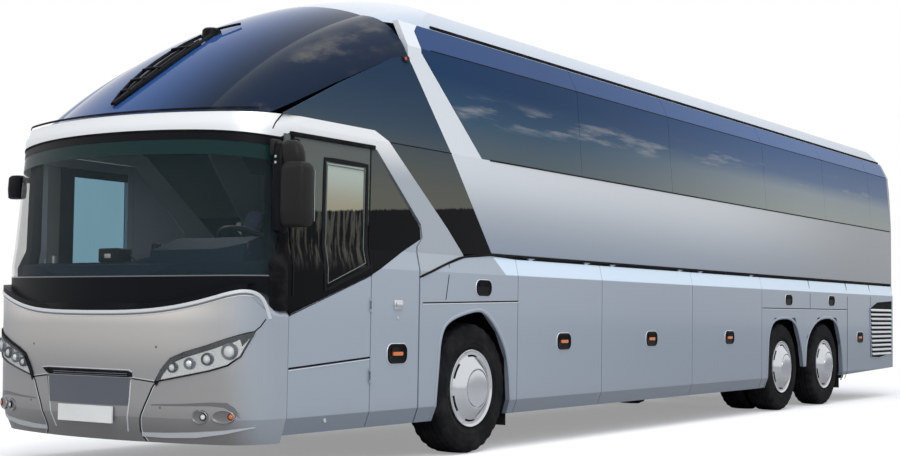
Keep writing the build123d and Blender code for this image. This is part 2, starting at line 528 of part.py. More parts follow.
for x in (RAIL_X, -RAIL_X):
    frame += box(x - RAIL_W / 2, x + RAIL_W / 2, SEAM_H, TAIL_RAIL_END, RAIL_Z1, RAIL_Z1 + 100)
    frame += box(x - RAIL_W / 2, x + RAIL_W / 2, SEAM_A + 30, SEAM_C + GAP, BAY_FLOOR_Z - DECK_T, BAY_FLOOR_Z + 60)
MUDFLAP_X, MUDFLAP_Z, MUDFLAP_T = (940.0, 1150.0), 180.0, 12.0
for d, top in ((SEAM_D + 2, BAY_FLOOR_Z), (SEAM_H + 2, SILL_Z + 40)):
    frame += sum(both(box(*MUDFLAP_X, d, d + MUDFLAP_T, MUDFLAP_Z, top)), Part())
save("chassis_frame", frame)

SOLE_T, SOLE_TOP_Z = 40.0, 1650.0
sole = [
    (FLOOR_X - SOLE_T, DECK_Z), (FLOOR_X, DECK_Z), (FLOOR_X, GUTTER_Z + 10), (side_x(GUTTER_Z + 10, WALL), GUTTER_Z + 10),
    (side_x(SOLE_TOP_Z, WALL), SOLE_TOP_Z), (FLOOR_X - SOLE_T, SOLE_TOP_Z)]
deck = box(-FLOOR_X, FLOOR_X, SEAM_C, REAR_CORNER_D - 60, deck_low, DECK_Z)
sole_bar = front_prism(sole, 300, REAR_CORNER_D - 60)
deck += sole_bar
deck += right(sole_bar)
STAIR_X = 420.0
stair = (MID_DOOR[0] - 40, MID_DOOR[1] + 40)
deck -= box(-HALF, -STAIR_X, stair[0], stair[1], BAY_FLOOR_Z, DECK_Z + 400)
for i in range(3):
    z = BAY_FLOOR_Z + (i + 1) * (DECK_Z - BAY_FLOOR_Z) / 4
    deck += box(-STAIR_X - 220 * (3 - i), -STAIR_X - 220 * (2 - i), stair[0], stair[1], z - DECK_T, z)
for d in (stair[0] - 20, stair[1]):
    deck += box(-STAIR_X - 660, -STAIR_X, d, d + 20, BAY_FLOOR_Z, DECK_Z)
cab_floor = box(-FLOOR_X, FLOOR_X, SEAM_C - DECK_T, SEAM_C, BAY_FLOOR_Z + 60, DECK_Z)
cab_floor += skin(SEAM_A + 20, SEAM_B - GAP, CAB_FLOOR_Z - DECK_T, CAB_FLOOR_Z, HALF - WALL - FLOOR_X, WALL)
cab_floor += right(skin(SEAM_B + 70, SEAM_C - 10, CAB_FLOOR_Z - DECK_T, CAB_FLOOR_Z, HALF - WALL - FLOOR_X, WALL))
cab_floor += box(-FLOOR_X, -TUNNEL_X, SEAM_B + 70, SEAM_C, CAB_FLOOR_Z - DECK_T, CAB_FLOOR_Z)
cab_floor += box(-TUNNEL_X, FLOOR_X, SEAM_A + 20, SEAM_C, CAB_FLOOR_Z - DECK_T, CAB_FLOOR_Z)
cab_floor += box(-FLOOR_X, -TUNNEL_X, SEAM_A + 20, SEAM_C, BAY_FLOOR_Z + 60, BAY_FLOOR_Z + 100)
cab_floor += box(-TUNNEL_X - DECK_T, -TUNNEL_X, SEAM_A + 20, SEAM_C, BAY_FLOOR_Z + 60, CAB_FLOOR_Z)
save("passenger_deck", deck + cab_floor)

ENGINE = (480.0, REAR - 1780.0, REAR - 480.0, RAIL_Z1 + 100.0, 1250.0)
save("engine_block", box(-ENGINE[0], ENGINE[0], *ENGINE[1:]))

# --- seats ------------------------------------------------------------------------------------------------
SEAT_W, AISLE = 870.0, 420.0


def seat(x0, x1, d, floor, back_top):
    """Seat seen from the side: plinth, cushion and raked back, facing forwards."""
    outline = [
        (d + 80, floor), (d + 480, floor), (d + 520, floor + 400), (d + SEAT_DEPTH, back_top), (d + 600, back_top + 20),
        (d + 400, floor + 480), (d, floor + 470), (d, floor + 330), (d + 80, floor + 310)]
    return side_prism(outline, x0, x1)


seats = [seat(330, 860, SEAM_B - 260, CAB_FLOOR_Z, 1920), seat(-380, 140, SEAM_B - 200, CAB_FLOOR_Z, 1900)]
for row in range(SEAT_ROWS):
    d = FIRST_ROW_D + row * SEAT_PITCH
    seats.append(seat(AISLE / 2, AISLE / 2 + SEAT_W, d, DECK_Z, 2560))
    if not stair[0] - 760 < d < stair[1]:
        seats.append(seat(-AISLE / 2 - SEAT_W, -AISLE / 2, d, DECK_Z, 2560))
save("seats", *seats)

# --- dashboard and steering wheel -----------------------------------------------------------------------
dash_outline = [(-2760, 1120), (-2180, 1120), (-2120, 1330), (-2250, 1440), (-2700, 1400), (-2760, 1300)]
dash = side_prism(dash_outline, -1040, HALF) & nose_form(WALL + 25)
pod_outline = [(-2620, 1380), (-2160, 1300), (-2200, 1520), (-2350, 1590), (-2600, 1500)]
dash += side_prism(pod_outline, 330, 1080) & nose_form(WALL + 25)
dash = dash + box(-900, 1100, -2300, -2200, CAB_FLOOR_Z, 1200)
save("dashboard", dash)
WHEEL_X, WHEEL_D, WHEEL_Z, WHEEL_TILT = 680.0, -2010.0, 1560.0, 28.0
ring = Torus(215, 16) + Cylinder(48, 40) + Box(410, 34, 14) + Pos(0, -100, 0) * Box(34, 200, 14)
column = Pos(0, 0, -160) * Cylinder(28, 300)
steering = Pos(WHEEL_X, at(WHEEL_D), WHEEL_Z) * Rot(-WHEEL_TILT, 0, 0) * (ring + column)
save("steering_wheel", steering - dash)

# --- mirrors and wipers -------------------------------------------------------------------------------------
MIRROR_TOP_Z, MIRROR_LOW_Z = 2050.0, 1640.0


def mirror_left():
    housing = Pos(1435, at(-2400), (MIRROR_TOP_Z + MIRROR_LOW_Z) / 2) * Box(210, 130, MIRROR_TOP_Z - MIRROR_LOW_Z)
    housing = fillet(housing.edges().filter_by(Axis.Z), 55)
    neck = Pos(1415, at(-2400), MIRROR_TOP_Z + 15) * Cylinder(70, 50)
    cap = Pos(1400, at(-2400), 2120) * Box(160, 100, 170)
    leaf = Pos(1310, at(-2400), 1880) * Box(60, 90, 560)
    arm = Pos(1275, at(-2400), 2160) * Box(240, 60, 60)
    return (housing + neck + cap + leaf + arm) - nose_outer


def mirror_right():
    housing = Pos(-1345, at(-2370), 2010) * Box(150, 100, 170)
    arm = Pos(-1240, at(-2370), 2060) * Box(140, 40, 40)
    return (housing + arm) - nose_outer


save("mirrors", mirror_left(), mirror_right())

WIPER_T = 18.0
WIPER_BARS = ((-30.0, 24.0, 29.0, 12.7), (45.0, 20.0, 30.0, 11.0), (7.0, 95.0, 36.0, 0.8))   # x, width, start and sweep (degrees)


def dome_bar(x, width, start, sweep):
    """Bar bent over the dome glass, from an angle ahead of the top of the dome."""
    face = make_face(Polyline([
        (x - width / 2, 0, DOME_R + 1), (x + width / 2, 0, DOME_R + 1), (x + width / 2, 0, DOME_R + 1 + WIPER_T),
        (x - width / 2, 0, DOME_R + 1 + WIPER_T)], close=True))
    bar = revolve(face, Axis.X, revolution_arc=sweep)
    return Pos(0, at(DOME_AXIS_D), DOME_AXIS_Z) * Rot(start, 0, 0) * bar


save("wipers", sum([dome_bar(*row) for row in WIPER_BARS], Part()))

# --- wheels ---------------------------------------------------------------------------------------------------
TYRE_X = TYRE_FACE_X - TYRE_W / 2
TYRE_OUTLINE = (
    (-TYRE_W / 2 + 35, TYRE_BORE), (-TYRE_W / 2, 400.0), (-TREAD_W / 2, TYRE_R), (TREAD_W / 2, TYRE_R),
    (TYRE_W / 2, 400.0), (TYRE_W / 2 - 35, TYRE_BORE))


def tyre(x):
    return Pos(x, 0, 0) * lathe_x(TYRE_OUTLINE)


def barrel(x, face):
    """Wheel rim round a disc; face is the distance of the disc outside the middle of the rim."""
    b = TYRE_BORE - TOUCH
    half = TYRE_W / 2 - 35
    points = [
        (-half, b), (half, b), (half + 12, b + 14), (half + 24, b + 14), (half + 24, BARREL_R), (face + 14, BARREL_R),
        (face + 14, 95), (face - 14, 95), (face - 14, BARREL_R), (-half, BARREL_R)]
    return Pos(x, 0, 0) * lathe_x(points)


def hub(x0, x1, bore, outside, cap_x=None):
    points = [(x0, bore + FIT), (x0, outside), (x1, outside), (x1, bore + FIT)]
    if cap_x:
        points = [(x0, bore + FIT), (x0, outside), (x1, outside), (cap_x, outside - 35), (cap_x, 0), (x1 - 10, 0), (x1 - 10, bore + FIT)]
    return lathe_x(points)


HUB_IN_X, HUB_OUT_X, CAP_X = 1010.0, 1190.0, 1240.0
SPINDLE_END_X = 1150.0
WHEEL_PLACES = (("front", 0.0), ("drive", WHEELBASE), ("tag", WHEELBASE + TAG_SPACING))
for name, d in WHEEL_PLACES:
    if name == "front":
        wheel = barrel(TYRE_X, 60) + hub(HUB_IN_X, HUB_OUT_X, SPINDLE_R, 130, CAP_X)
        tyres = [tyre(TYRE_X)]
    elif name == "drive":
        inner_x = TYRE_X - TWIN_SPACING
        wheel = barrel(TYRE_X, -90) + right(barrel(-inner_x, -90)) + hub(inner_x, HUB_OUT_X, DRIVE_SPINDLE_R, 130, CAP_X)
        wheel += hub(inner_x + 100, TYRE_X - 100, DRIVE_SPINDLE_R, 180)
        tyres = [tyre(TYRE_X), tyre(inner_x)]
    else:
        wheel = barrel(TYRE_X, 20) + hub(HUB_IN_X, HUB_OUT_X, SPINDLE_R, 130, CAP_X)
        tyres = [tyre(TYRE_X)]
    place = Pos(0, at(d), HUB_Z)
    save(f"wheel_{name}_left", place * wheel)
    save(f"wheel_{name}_right", right(place * wheel))
    save(f"tyre_{name}_left", *[place * t for t in tyres])
    save(f"tyre_{name}_right", *[right(place * t) for t in tyres])

# --- knuckles and axles ------------------------------------------------------------------------------------------
BOSS_R, BOSS_H, PLATE_T = 48.0, 150.0, 34.0
web_x = KINGPIN_X + BOSS_R + 12
knuckle = Pos(KINGPIN_X, at(0), HUB_Z) * Cylinder(KINGPIN_R, BOSS_H + 2 * PLATE_T + 10)
for side in (1, -1):
    z = HUB_Z + side * (BOSS_H / 2 + PLATE_T / 2 + 3)
    knuckle += box(KINGPIN_X - 40, web_x + 30, -40, 40, z - PLATE_T / 2, z + PLATE_T / 2)
knuckle += box(web_x, web_x + 30, -70, 70, HUB_Z - BOSS_H / 2 - PLATE_T - 3, HUB_Z + BOSS_H / 2 + PLATE_T + 3)
knuckle += Pos((web_x + 20 + SPINDLE_END_X) / 2, at(0), HUB_Z) * Rot(0, 90, 0) * Cylinder(SPINDLE_R, SPINDLE_END_X - web_x - 20)
save("knuckle_left", knuckle)
save("knuckle_right", right(knuckle))

front_axle = box(-KINGPIN_X + 40, KINGPIN_X - 40, -60, 60, HUB_Z - 60, HUB_Z + 60)
boss = Pos(KINGPIN_X, at(0), HUB_Z) * (Cylinder(BOSS_R, BOSS_H) - Cylinder(KINGPIN_R + FIT, BOSS_H + 10))
for part in both(boss):
    front_axle += part
for part in both(Pos(KINGPIN_X, at(0), HUB_Z) * Cylinder(KINGPIN_R + FIT, BOSS_H + 10)):
    front_axle -= part
AIR_SPRING_R, AIR_SPRING_X = 115.0, 260.0
for x in (AIR_SPRING_X, -AIR_SPRING_X):
    front_axle += Pos(x, at(0), (HUB_Z + 50 + FRONT_TUNNEL_Z) / 2) * Cylinder(AIR_SPRING_R, FRONT_TUNNEL_Z - HUB_Z - 50)


def cross_axle(d, beam_r, beam_end, spindle_r, ball_r):
    half = [(0, ball_r), (ball_r * 0.4, ball_r), (ball_r, beam_r)] if ball_r else [(0, beam_r)]
    half += [(beam_end, beam_r), (beam_end, spindle_r), (SPINDLE_END_X, spindle_r)]
    other = [(-x, r) for x, r in reversed(half[1:])]
    axle = Pos(0, at(d), HUB_Z) * lathe_x([(-SPINDLE_END_X, 0)] + other + half + [(SPINDLE_END_X, 0)])
    for x in (AIR_SPRING_X, -AIR_SPRING_X):
        axle += Pos(x, at(d), (HUB_Z + beam_r / 2 + REAR_TUNNEL_Z) / 2) * Cylinder(AIR_SPRING_R, REAR_TUNNEL_Z - HUB_Z - beam_r / 2)
    return axle


drive_axle = cross_axle(WHEELBASE, 90, 580, DRIVE_SPINDLE_R, 200)
tag_axle = cross_axle(WHEELBASE + TAG_SPACING, 70, 900, SPINDLE_R, 0)
save("axles", front_axle, drive_axle, tag_axle)

# --- door arms ----------------------------------------------------------------------------------------------------
def door_arm(front_edge, span):
    """Upright post at the front jamb with two arms that carry the door at their ends."""
    post_d, eye_d = front_edge + ARM_SETBACK, front_edge + ARM_SETBACK + ARM_LEN
    arm = round_bar((-ARM_X, at(post_d), span[0] + TOUCH), (-ARM_X, at(post_d), span[1]), ARM_R)
    for z in arm_heights(span):
        arm += box(-ARM_X - ARM_T / 2, -ARM_X + ARM_T / 2, post_d, eye_d, z - ARM_H / 2, z + ARM_H / 2)
        arm += round_bar((-ARM_X, at(eye_d), z - ARM_H / 2), (-ARM_X, at(eye_d), z + ARM_H / 2), EYE_R)
        arm -= round_bar((-ARM_X, at(eye_d), z - ARM_H), (-ARM_X, at(eye_d), z + ARM_H), EYE_PIN_R + FIT)
    return arm


save("door_arm_front", door_arm(FRONT_DOOR_D, FRONT_ARM_Z))
save("door_arm_middle", door_arm(MID_DOOR[0], MID_ARM_Z))

# --- number plates -------------------------------------------------------------------------------------------------
PLATE_W, PLATE_H, PLATE_T2, PLATE_HOLE_R, PLATE_HOLES = 520.0, 110.0, 12.0, 3.0, 400.0
plate = Box(PLATE_W, PLATE_T2, PLATE_H)
for x in (-PLATE_HOLES / 2, PLATE_HOLES / 2):
    plate -= Pos(x, 0, 0) * Rot(90, 0, 0) * Cylinder(PLATE_HOLE_R, 3 * PLATE_T2)
FRONT_PLATE_Z, REAR_PLATE_Z = 405.0, 1640.0
front_plate = Pos(0, at(-nose_at(FRONT_PLATE_Z + 55) - PLATE_T2 / 2 - TOUCH), FRONT_PLATE_Z) * plate
rear_plate = Pos(0, at(REAR + PLATE_T2 / 2 + TOUCH), REAR_PLATE_Z) * plate
save("number_plates", front_plate, rear_plate)
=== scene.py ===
# %% [markdown]
# # A three-axle touring coach
# The coach arrives as a frame of finished solids: panels, glass, wheels, doors and axles, each
# in its true place. This lesson dresses that frame. Every piece made here rides on one of its
# bodies, so a hub cap turns with its wheel and a door handle swings with its door. We work in
# metres: +Z is up, the front of the coach faces -Y, and +X is the coach's own left side.

# %% Load the frame
import math

import bmesh
import bpy
import json
from mathutils import Matrix, Vector

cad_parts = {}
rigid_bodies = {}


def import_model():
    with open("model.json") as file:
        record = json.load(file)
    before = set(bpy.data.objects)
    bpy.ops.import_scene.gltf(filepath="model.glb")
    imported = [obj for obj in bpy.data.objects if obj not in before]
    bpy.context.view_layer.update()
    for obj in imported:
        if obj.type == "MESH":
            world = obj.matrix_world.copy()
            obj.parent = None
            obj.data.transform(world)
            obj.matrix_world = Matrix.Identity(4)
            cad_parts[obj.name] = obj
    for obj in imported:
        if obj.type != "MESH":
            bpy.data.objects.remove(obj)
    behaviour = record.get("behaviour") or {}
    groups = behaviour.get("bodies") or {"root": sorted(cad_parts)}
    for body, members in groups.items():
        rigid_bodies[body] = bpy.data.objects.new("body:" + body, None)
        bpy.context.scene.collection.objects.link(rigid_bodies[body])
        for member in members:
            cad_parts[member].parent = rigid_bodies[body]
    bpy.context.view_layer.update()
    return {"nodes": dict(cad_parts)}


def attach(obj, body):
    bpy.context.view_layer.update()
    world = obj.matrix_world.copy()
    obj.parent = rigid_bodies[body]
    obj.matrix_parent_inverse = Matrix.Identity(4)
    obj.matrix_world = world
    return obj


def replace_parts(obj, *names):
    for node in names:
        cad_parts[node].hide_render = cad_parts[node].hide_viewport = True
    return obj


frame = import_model()

# %% [markdown]
# ## Where things are
# A coach is drawn from its front axle backwards, so places along it are written as distances
# behind that axle. The side of the body is not flat: it leans in below the sill, bulges at the
# waist and leans in again to the roof. In plan the nose is one big arc with a tight corner at
# each end, and the front panel is blunter than the glass above it. If we can compute a point on
# either surface, any trim can be laid on it exactly.

# %% Places and body surfaces
FRONT_AXLE_Y = 2.86 - 13.99 / 2
HALF_WIDTH = 1.275
SIDES = ((1, "left"), (-1, "right"))
SIDE_SECTION = ((0.285, 0.050), (0.400, 0.007), (1.410, 0.0), (1.545, 0.030), (2.330, 0.022), (3.100, 0.080),
    (3.300, 0.175), (3.490, 0.345))
NOSE_SECTION = (            # height, reach of the nose, side inset, corner radius
    (0.235, 2.780, 0.062, 0.450), (0.400, 2.840, 0.007, 0.450), (1.410, 2.860, 0.0, 0.450),
    (1.545, 2.850, 0.030, 0.450),
    (2.330, 2.757, 0.022, 0.420), (3.100, 2.510, 0.080, 0.650), (3.690, 2.280, 0.150, 0.650))
WHEEL_X, TWIN_X = 1.086, 0.751          # middle of the outer wheel and of its inner twin
GUTTER_Z, FLAP_TOP_Z = 1.5728, 1.562
WINDOW_SILL_Z, GLASS_JOINT_Z, ROOF_GUTTER_Z = 2.330, 3.105, 3.318
FASCIA_SECTION = ((0.235, 2.780, 0.062, 0.337), (0.400, 2.840, 0.007, 0.337), (1.410, 2.860, 0.0, 0.337))
SCREEN_RADIUS, FASCIA_RADIUS = 2.5, 3.17
DRIVE_AXLE, TAG_AXLE, REAR = 6.71, 8.18, 11.13


def at(distance):
    return FRONT_AXLE_Y + distance


def between(rows, z):
    """Values of a table of heights, blended at one height."""
    for low, high in zip(rows, rows[1:]):
        if z <= high[0]:
            break
    share = (z - low[0]) / (high[0] - low[0])
    return [a + share * (b - a) for a, b in zip(low[1:], high[1:])]


def side_point(distance, z, lift=0.0, side=1):
    """Point on the flank of the coach, lifted off it."""
    inset, = between(SIDE_SECTION, z)
    return Vector((side * (HALF_WIDTH - inset + lift), at(distance), z))


def plan_point(section, arc, x, z, lift):
    """Point on a surface whose plan is a front arc of one radius with a tighter arc at each corner."""
    nose, inset, corner = between(section, z)
    half, out = HALF_WIDTH - inset, abs(x)
    corner_d = -nose + arc - math.sqrt((arc - corner) ** 2 - (half - corner) ** 2)
    lean = math.asin((half - corner) / (arc - corner))
    if out < arc * math.sin(lean):
        middle_x, middle_d, radius = 0.0, arc - nose, arc
    else:
        middle_x, middle_d, radius = half - corner, corner_d, corner
    across = min(out - middle_x, radius)
    ahead = math.sqrt(max(radius * radius - across * across, 0.0))
    share = (radius + lift) / radius
    return Vector((math.copysign(middle_x + across * share, x), at(middle_d - ahead * share), z))


def fascia_point(x, z, lift=0.0):
    """Point on the front panel, lifted off it."""
    return plan_point(FASCIA_SECTION, FASCIA_RADIUS, x, z, lift)


def screen_point(x, z, lift=0.0):
    """Point on the windscreen or the band above it, lifted off it."""
    return plan_point(NOSE_SECTION, SCREEN_RADIUS, x, z, lift)


print("nose at bumper height", [round(v, 3) for v in fascia_point(0.0, 0.6)], "flank",
    [round(v, 3) for v in side_point(3.0, 1.0)])

# %% [markdown]
# ## Camera
# The coach is seen from low down, near its front left corner, through a slightly long lens, so
# the far end shrinks but the verticals stay upright. A camera looks along its own -Z, so we
# build its three axes by hand from a heading, a small upward pitch and a touch of roll.

# %% Camera


def in_scene(name, data):
    """A new object that stands in the scene."""
    obj = bpy.data.objects.new(name, data)
    bpy.context.scene.collection.objects.link(obj)
    return obj


CAMERA_PLACE = (7.3462, -13.5461, 1.088)
HEADING, PITCH, ROLL = math.radians(33.943), math.radians(3.487), math.radians(0.57)
look = Vector((-math.sin(HEADING) * math.cos(PITCH), math.cos(HEADING) * math.cos(PITCH), math.sin(PITCH)))
level = Vector((math.cos(HEADING), math.sin(HEADING), 0.0))
upward = level.cross(look)
camera_x = math.cos(ROLL) * level + math.sin(ROLL) * upward
camera_y = math.cos(ROLL) * upward - math.sin(ROLL) * level
camera_data = bpy.data.cameras.new("camera")
camera_data.lens = 56.74
camera_data.sensor_width = 36.0
camera_data.clip_end = 200.0
camera = in_scene("camera", camera_data)
axes = Matrix((camera_x, camera_y, -look)).transposed().to_4x4()
camera.matrix_world = Matrix.Translation(CAMERA_PLACE) @ axes
bpy.context.scene.camera = camera
bpy.context.scene.view_settings.view_transform = "Standard"
print("camera", [round(v, 2) for v in camera.location], "lens", camera_data.lens)

# %% [markdown]
# ## Shader maths
# A material is a little program. Wiring every Math node by hand hides what it computes, so one
# small class wraps a socket: adding or multiplying two wrapped sockets adds the node and its
# links. Colours go through Mix nodes, since a Math node would turn them grey.

# %% Socket arithmetic


class Value:
    """A node's output that can be used in ordinary arithmetic."""

    def __init__(self, recipe, socket):
        self.recipe, self.socket = recipe, socket

    def _math(self, operation, *others):
        return self.recipe.node("ShaderNodeMath", {"operation": operation}, dict(enumerate((self,) + others)))

    def __add__(self, other):
        return self._math("ADD", other)

    def __radd__(self, other):
        return self._math("ADD", other)

    def __sub__(self, other):
        return self._math("SUBTRACT", other)

    def __rsub__(self, other):
        return Value(self.recipe, self.recipe.constant(other))._math("SUBTRACT", self)

    def __mul__(self, other):
        return self._math("MULTIPLY", other)

    def __rmul__(self, other):
        return self._math("MULTIPLY", other)

    def __truediv__(self, other):
        return self._math("DIVIDE", other)

    def __gt__(self, other):
        return self._math("GREATER_THAN", other)

    def __lt__(self, other):
        return self._math("LESS_THAN", other)

    def sine(self):
        return self._math("SINE")


class Recipe:
    """One material and the nodes that make it."""

    def __init__(self, name):
        self.material = bpy.data.materials.new(name)
        self.material.use_nodes = True
        self.tree = self.material.node_tree
        self.shader = self.tree.nodes["Principled BSDF"]

    def node(self, kind, settings=None, sockets=None, output=0):
        made = self.tree.nodes.new(kind)
        for key, value in (settings or {}).items():
            if key == "stops":
                ramp = made.color_ramp
                while len(ramp.elements) < len(value):
                    ramp.elements.new(1.0)
                for element, (place, colour) in zip(ramp.elements, value):
                    element.position, element.color = place, colour
            else:
                setattr(made, key, value)
        for key, value in (sockets or {}).items():
            self.feed(made.inputs[key], value)
        return Value(self, made.outputs[output])

    def feed(self, socket, value):
        if isinstance(value, Value):
            self.tree.links.new(value.socket, socket)
        elif value is not None:
            socket.default_value = value

    def constant(self, number):
        made = self.tree.nodes.new("ShaderNodeValue")
        made.outputs[0].default_value = number
        return made.outputs[0]

    def place(self):
        """Position on the coach in metres, which does not move with the camera."""
        return self.node("ShaderNodeTexCoord", output=3)

    def axis(self, index):
        return self.node("ShaderNodeSeparateXYZ", {}, {0: self.place()}, output=index)

    def noise(self, scale, detail=4.0, roughness=0.5, stretch=None):
        where = self.place()
        if stretch:
            where = self.node("ShaderNodeVectorMath", {"operation": "MULTIPLY"}, {0: where, 1: stretch})
        return self.node("ShaderNodeTexNoise", {},
            {"Vector": where, "Scale": scale, "Detail": detail, "Roughness": roughness})

    def ramp(self, value, *stops):
        return self.node("ShaderNodeValToRGB",
            {"stops": [(p, c if len(c) == 4 else (*c, 1.0)) for p, c in stops]}, {"Fac": value})

    def mix(self, share, a, b):
        sockets = {0: share, 6: a if isinstance(a, Value) else (*a, 1.0), 7: b if isinstance(b, Value)
            else (*b, 1.0)}
        return self.node("ShaderNodeMix", {"data_type": "RGBA"}, sockets, output=2)

    def smooth(self, value, low, high):
        sockets = {"Value": value, "From Min": low, "From Max": high}
        return self.node("ShaderNodeMapRange", {"interpolation_type": "SMOOTHSTEP"}, sockets)

    def bump(self, height, distance, strength=1.0):
        return self.node("ShaderNodeBump", {}, {"Height": height, "Distance": distance, "Strength": strength})

    def finish(self, **sockets):
        for key, value in sockets.items():
            name = key.replace("_", " ")
            if isinstance(value, tuple) and len(value) == 3:
                value = (*value, 1.0)
            self.feed(self.shader.inputs[name], value)
        return self.material


print("wrapped sockets ready")

# %% [markdown]
# ## Silver paint
# The body is a cool silver metallic under clear lacquer: fine flake that sparkles at arm's length but reads
# as an even grey from across a street, a little road dust low down, and a darker two-tone band along the
# sill. The paints also carry painted light: shade and highlight painted in by height, a painted reflection on
# the shoulder band, a painted highlight towards the nose, a painted shade towards the tail, and a lighter and
# a darker copy of the silver for painted highlights and painted shade. Metallic is kept at about a third,
# because the pigment under the flake scatters light as plain paint does.

# %% Silver paint


def silver_paint(name, steps, shoulder=None, sill=False, front_highlight=None, tail_shade=None, corners=None):
    """Metallic paint with painted light: its colour steps with height, a painted shade and painted highlight
    standing in for the light on a curved panel.

    The steps list (height, colour) of that painted light. The shoulder colour is a painted reflection on the
    shoulder band; the paint can also take a painted highlight towards the nose, a painted shade towards the
    tail, and painted light and shade at the sides of the hood."""
    r = Recipe(name)
    flake = r.noise(900.0, 2.0)
    cloud = r.noise(0.7, 3.0)
    height, behind = r.axis(2), r.axis(1)
    low, high = steps[0][1], steps[-1][1]
    base = r.mix(cloud * 0.10, low, tuple(c * 0.9 for c in low))
    # Painted shade and highlight: the colour steps with height.
    for (z0, _), (z1, colour) in zip(steps, steps[1:]):
        base = r.mix(r.smooth(height, z0, z1), base, colour)
    # Painted highlight: paler towards the nose above a given height.
    if front_highlight:
        base = r.mix(r.smooth(behind, at(4.5), at(-1.5)) * front_highlight[0] * r.smooth(height, front_highlight[1], front_highlight[2]), base,
            front_highlight[3])
    # Painted shade: darker towards the tail.
    if tail_shade:
        base = r.mix(r.smooth(behind, at(4.0), at(10.5)) * tail_shade[0], base, tail_shade[1])
    # Painted reflection: the shoulder band is painted paler, as if it mirrored the sky.
    if shoulder:
        start = r.smooth(behind + 1.107 * height, at(0.280) + 1.107 * 1.545, at(0.300) + 1.107 * 1.545)
        band = r.smooth(height, 1.408, 1.418) * (1 - r.smooth(height, 1.548, 1.556)) * start
        base = r.mix(band * 0.92, base, shoulder)
    # Painted light and shade at the outer parts of the hood, and a bluer painted highlight where the +X cheek
    # turns to the flank.
    if corners:
        across = r.axis(0)
        base = r.mix(r.smooth(across * across, 0.40, 1.30) * r.smooth(height, 0.55, 1.00) * 0.80, base,
            corners)
        base = r.mix(r.smooth(across, 1.05, 1.26), base, (0.31, 0.355, 0.415))
    dust = r.noise(5.0, 6.0) * r.smooth(height, 0.75, 0.25)
    base = r.mix(dust * 0.22, base, (0.22, 0.21, 0.20))
    if sill:
        base = r.mix((height < 0.395) * 0.80, base, tuple(c * 0.70 for c in low))
    base = r.mix(flake * 0.10, base, tuple(min(c * 1.25, 1.0) for c in high))
    r.finish(Base_Color=base, Roughness=0.30 + 0.12 * flake, Metallic=0.35,
        Normal=r.bump(flake, 0.0002, 0.12))
    return r.finish(Coat_Weight=0.35, Coat_Roughness=0.08)


def even(low, high, z0=0.4, z1=1.4):
    """The steps of a paint that goes from one colour to another between two heights."""
    return (z0, low), (z1, high)


# The flank's silver: a painted reflection on the shoulder band, a painted highlight towards the nose, and the
# two-tone sill.
paint = silver_paint("silver_paint", even((0.275, 0.325, 0.395), (0.285, 0.335, 0.405)), (0.66, 0.80, 0.94),
    True, (0.75, 0.2, 0.5, (0.37, 0.42, 0.485)))
# The wall above the flaps: painted shade low and painted highlight high, a painted highlight towards the nose
# and painted shade towards the tail.
wall_paint = silver_paint("wall_paint", ((1.58, (0.225, 0.275, 0.350)), (2.30, (0.56, 0.59, 0.62))),
    front_highlight=(0.8, 1.9, 2.3, (0.66, 0.70, 0.74)), tail_shade=(0.92, (0.17, 0.19, 0.21)))
# The front panel: painted shade low down, a painted highlight under the hood's rim, and painted light and
# shade at its sides.
hood_paint = silver_paint("hood_paint", ((0.27, (0.150, 0.147, 0.152)), (0.52, (0.30, 0.295, 0.295)),
    (0.66, (0.30, 0.295, 0.295)), (0.98, (0.50, 0.480, 0.455)), (1.11, (0.80, 0.745, 0.68))),
    corners=(0.38, 0.39, 0.41))
# A darker copy of the silver for painted shade, and a lighter copy for painted highlights.
silver_shade = silver_paint("shaded_silver", even((0.150, 0.150, 0.158), (0.16, 0.16, 0.17)))
highlight_paint = silver_paint("pale_silver", even((0.60, 0.63, 0.66), (0.70, 0.72, 0.74)))
# The brow band and the roof: painted shade below, painted highlight above.
band_paint = silver_paint("band_silver", even((0.33, 0.37, 0.42), (0.78, 0.79, 0.80), 2.05, 2.36))
roof_paint = silver_paint("roof_silver", even((0.36, 0.42, 0.51), (0.50, 0.53, 0.57), 3.3, 3.65))
grille_paint = silver_paint("dark_grille", even((0.10, 0.11, 0.135), (0.11, 0.12, 0.145)))
print("paints", paint.name, highlight_paint.name, grille_paint.name)

# %% [markdown]
# ## Glass
# Two kinds. The passenger windows and the dome are deep tinted privacy glass, nearly black, and seen from
# outside they are mostly a mirror of the sky, painted into their colour as a painted reflection: dark blue
# above, slate lower down. The side glass of the cab has a painted reflection of a pale sky over a dark
# skyline. The windscreen is clear with a green-grey cast, so the cab shows through, and in the door's pane we
# paint what would be seen through it.

# %% Tinted and clear glass


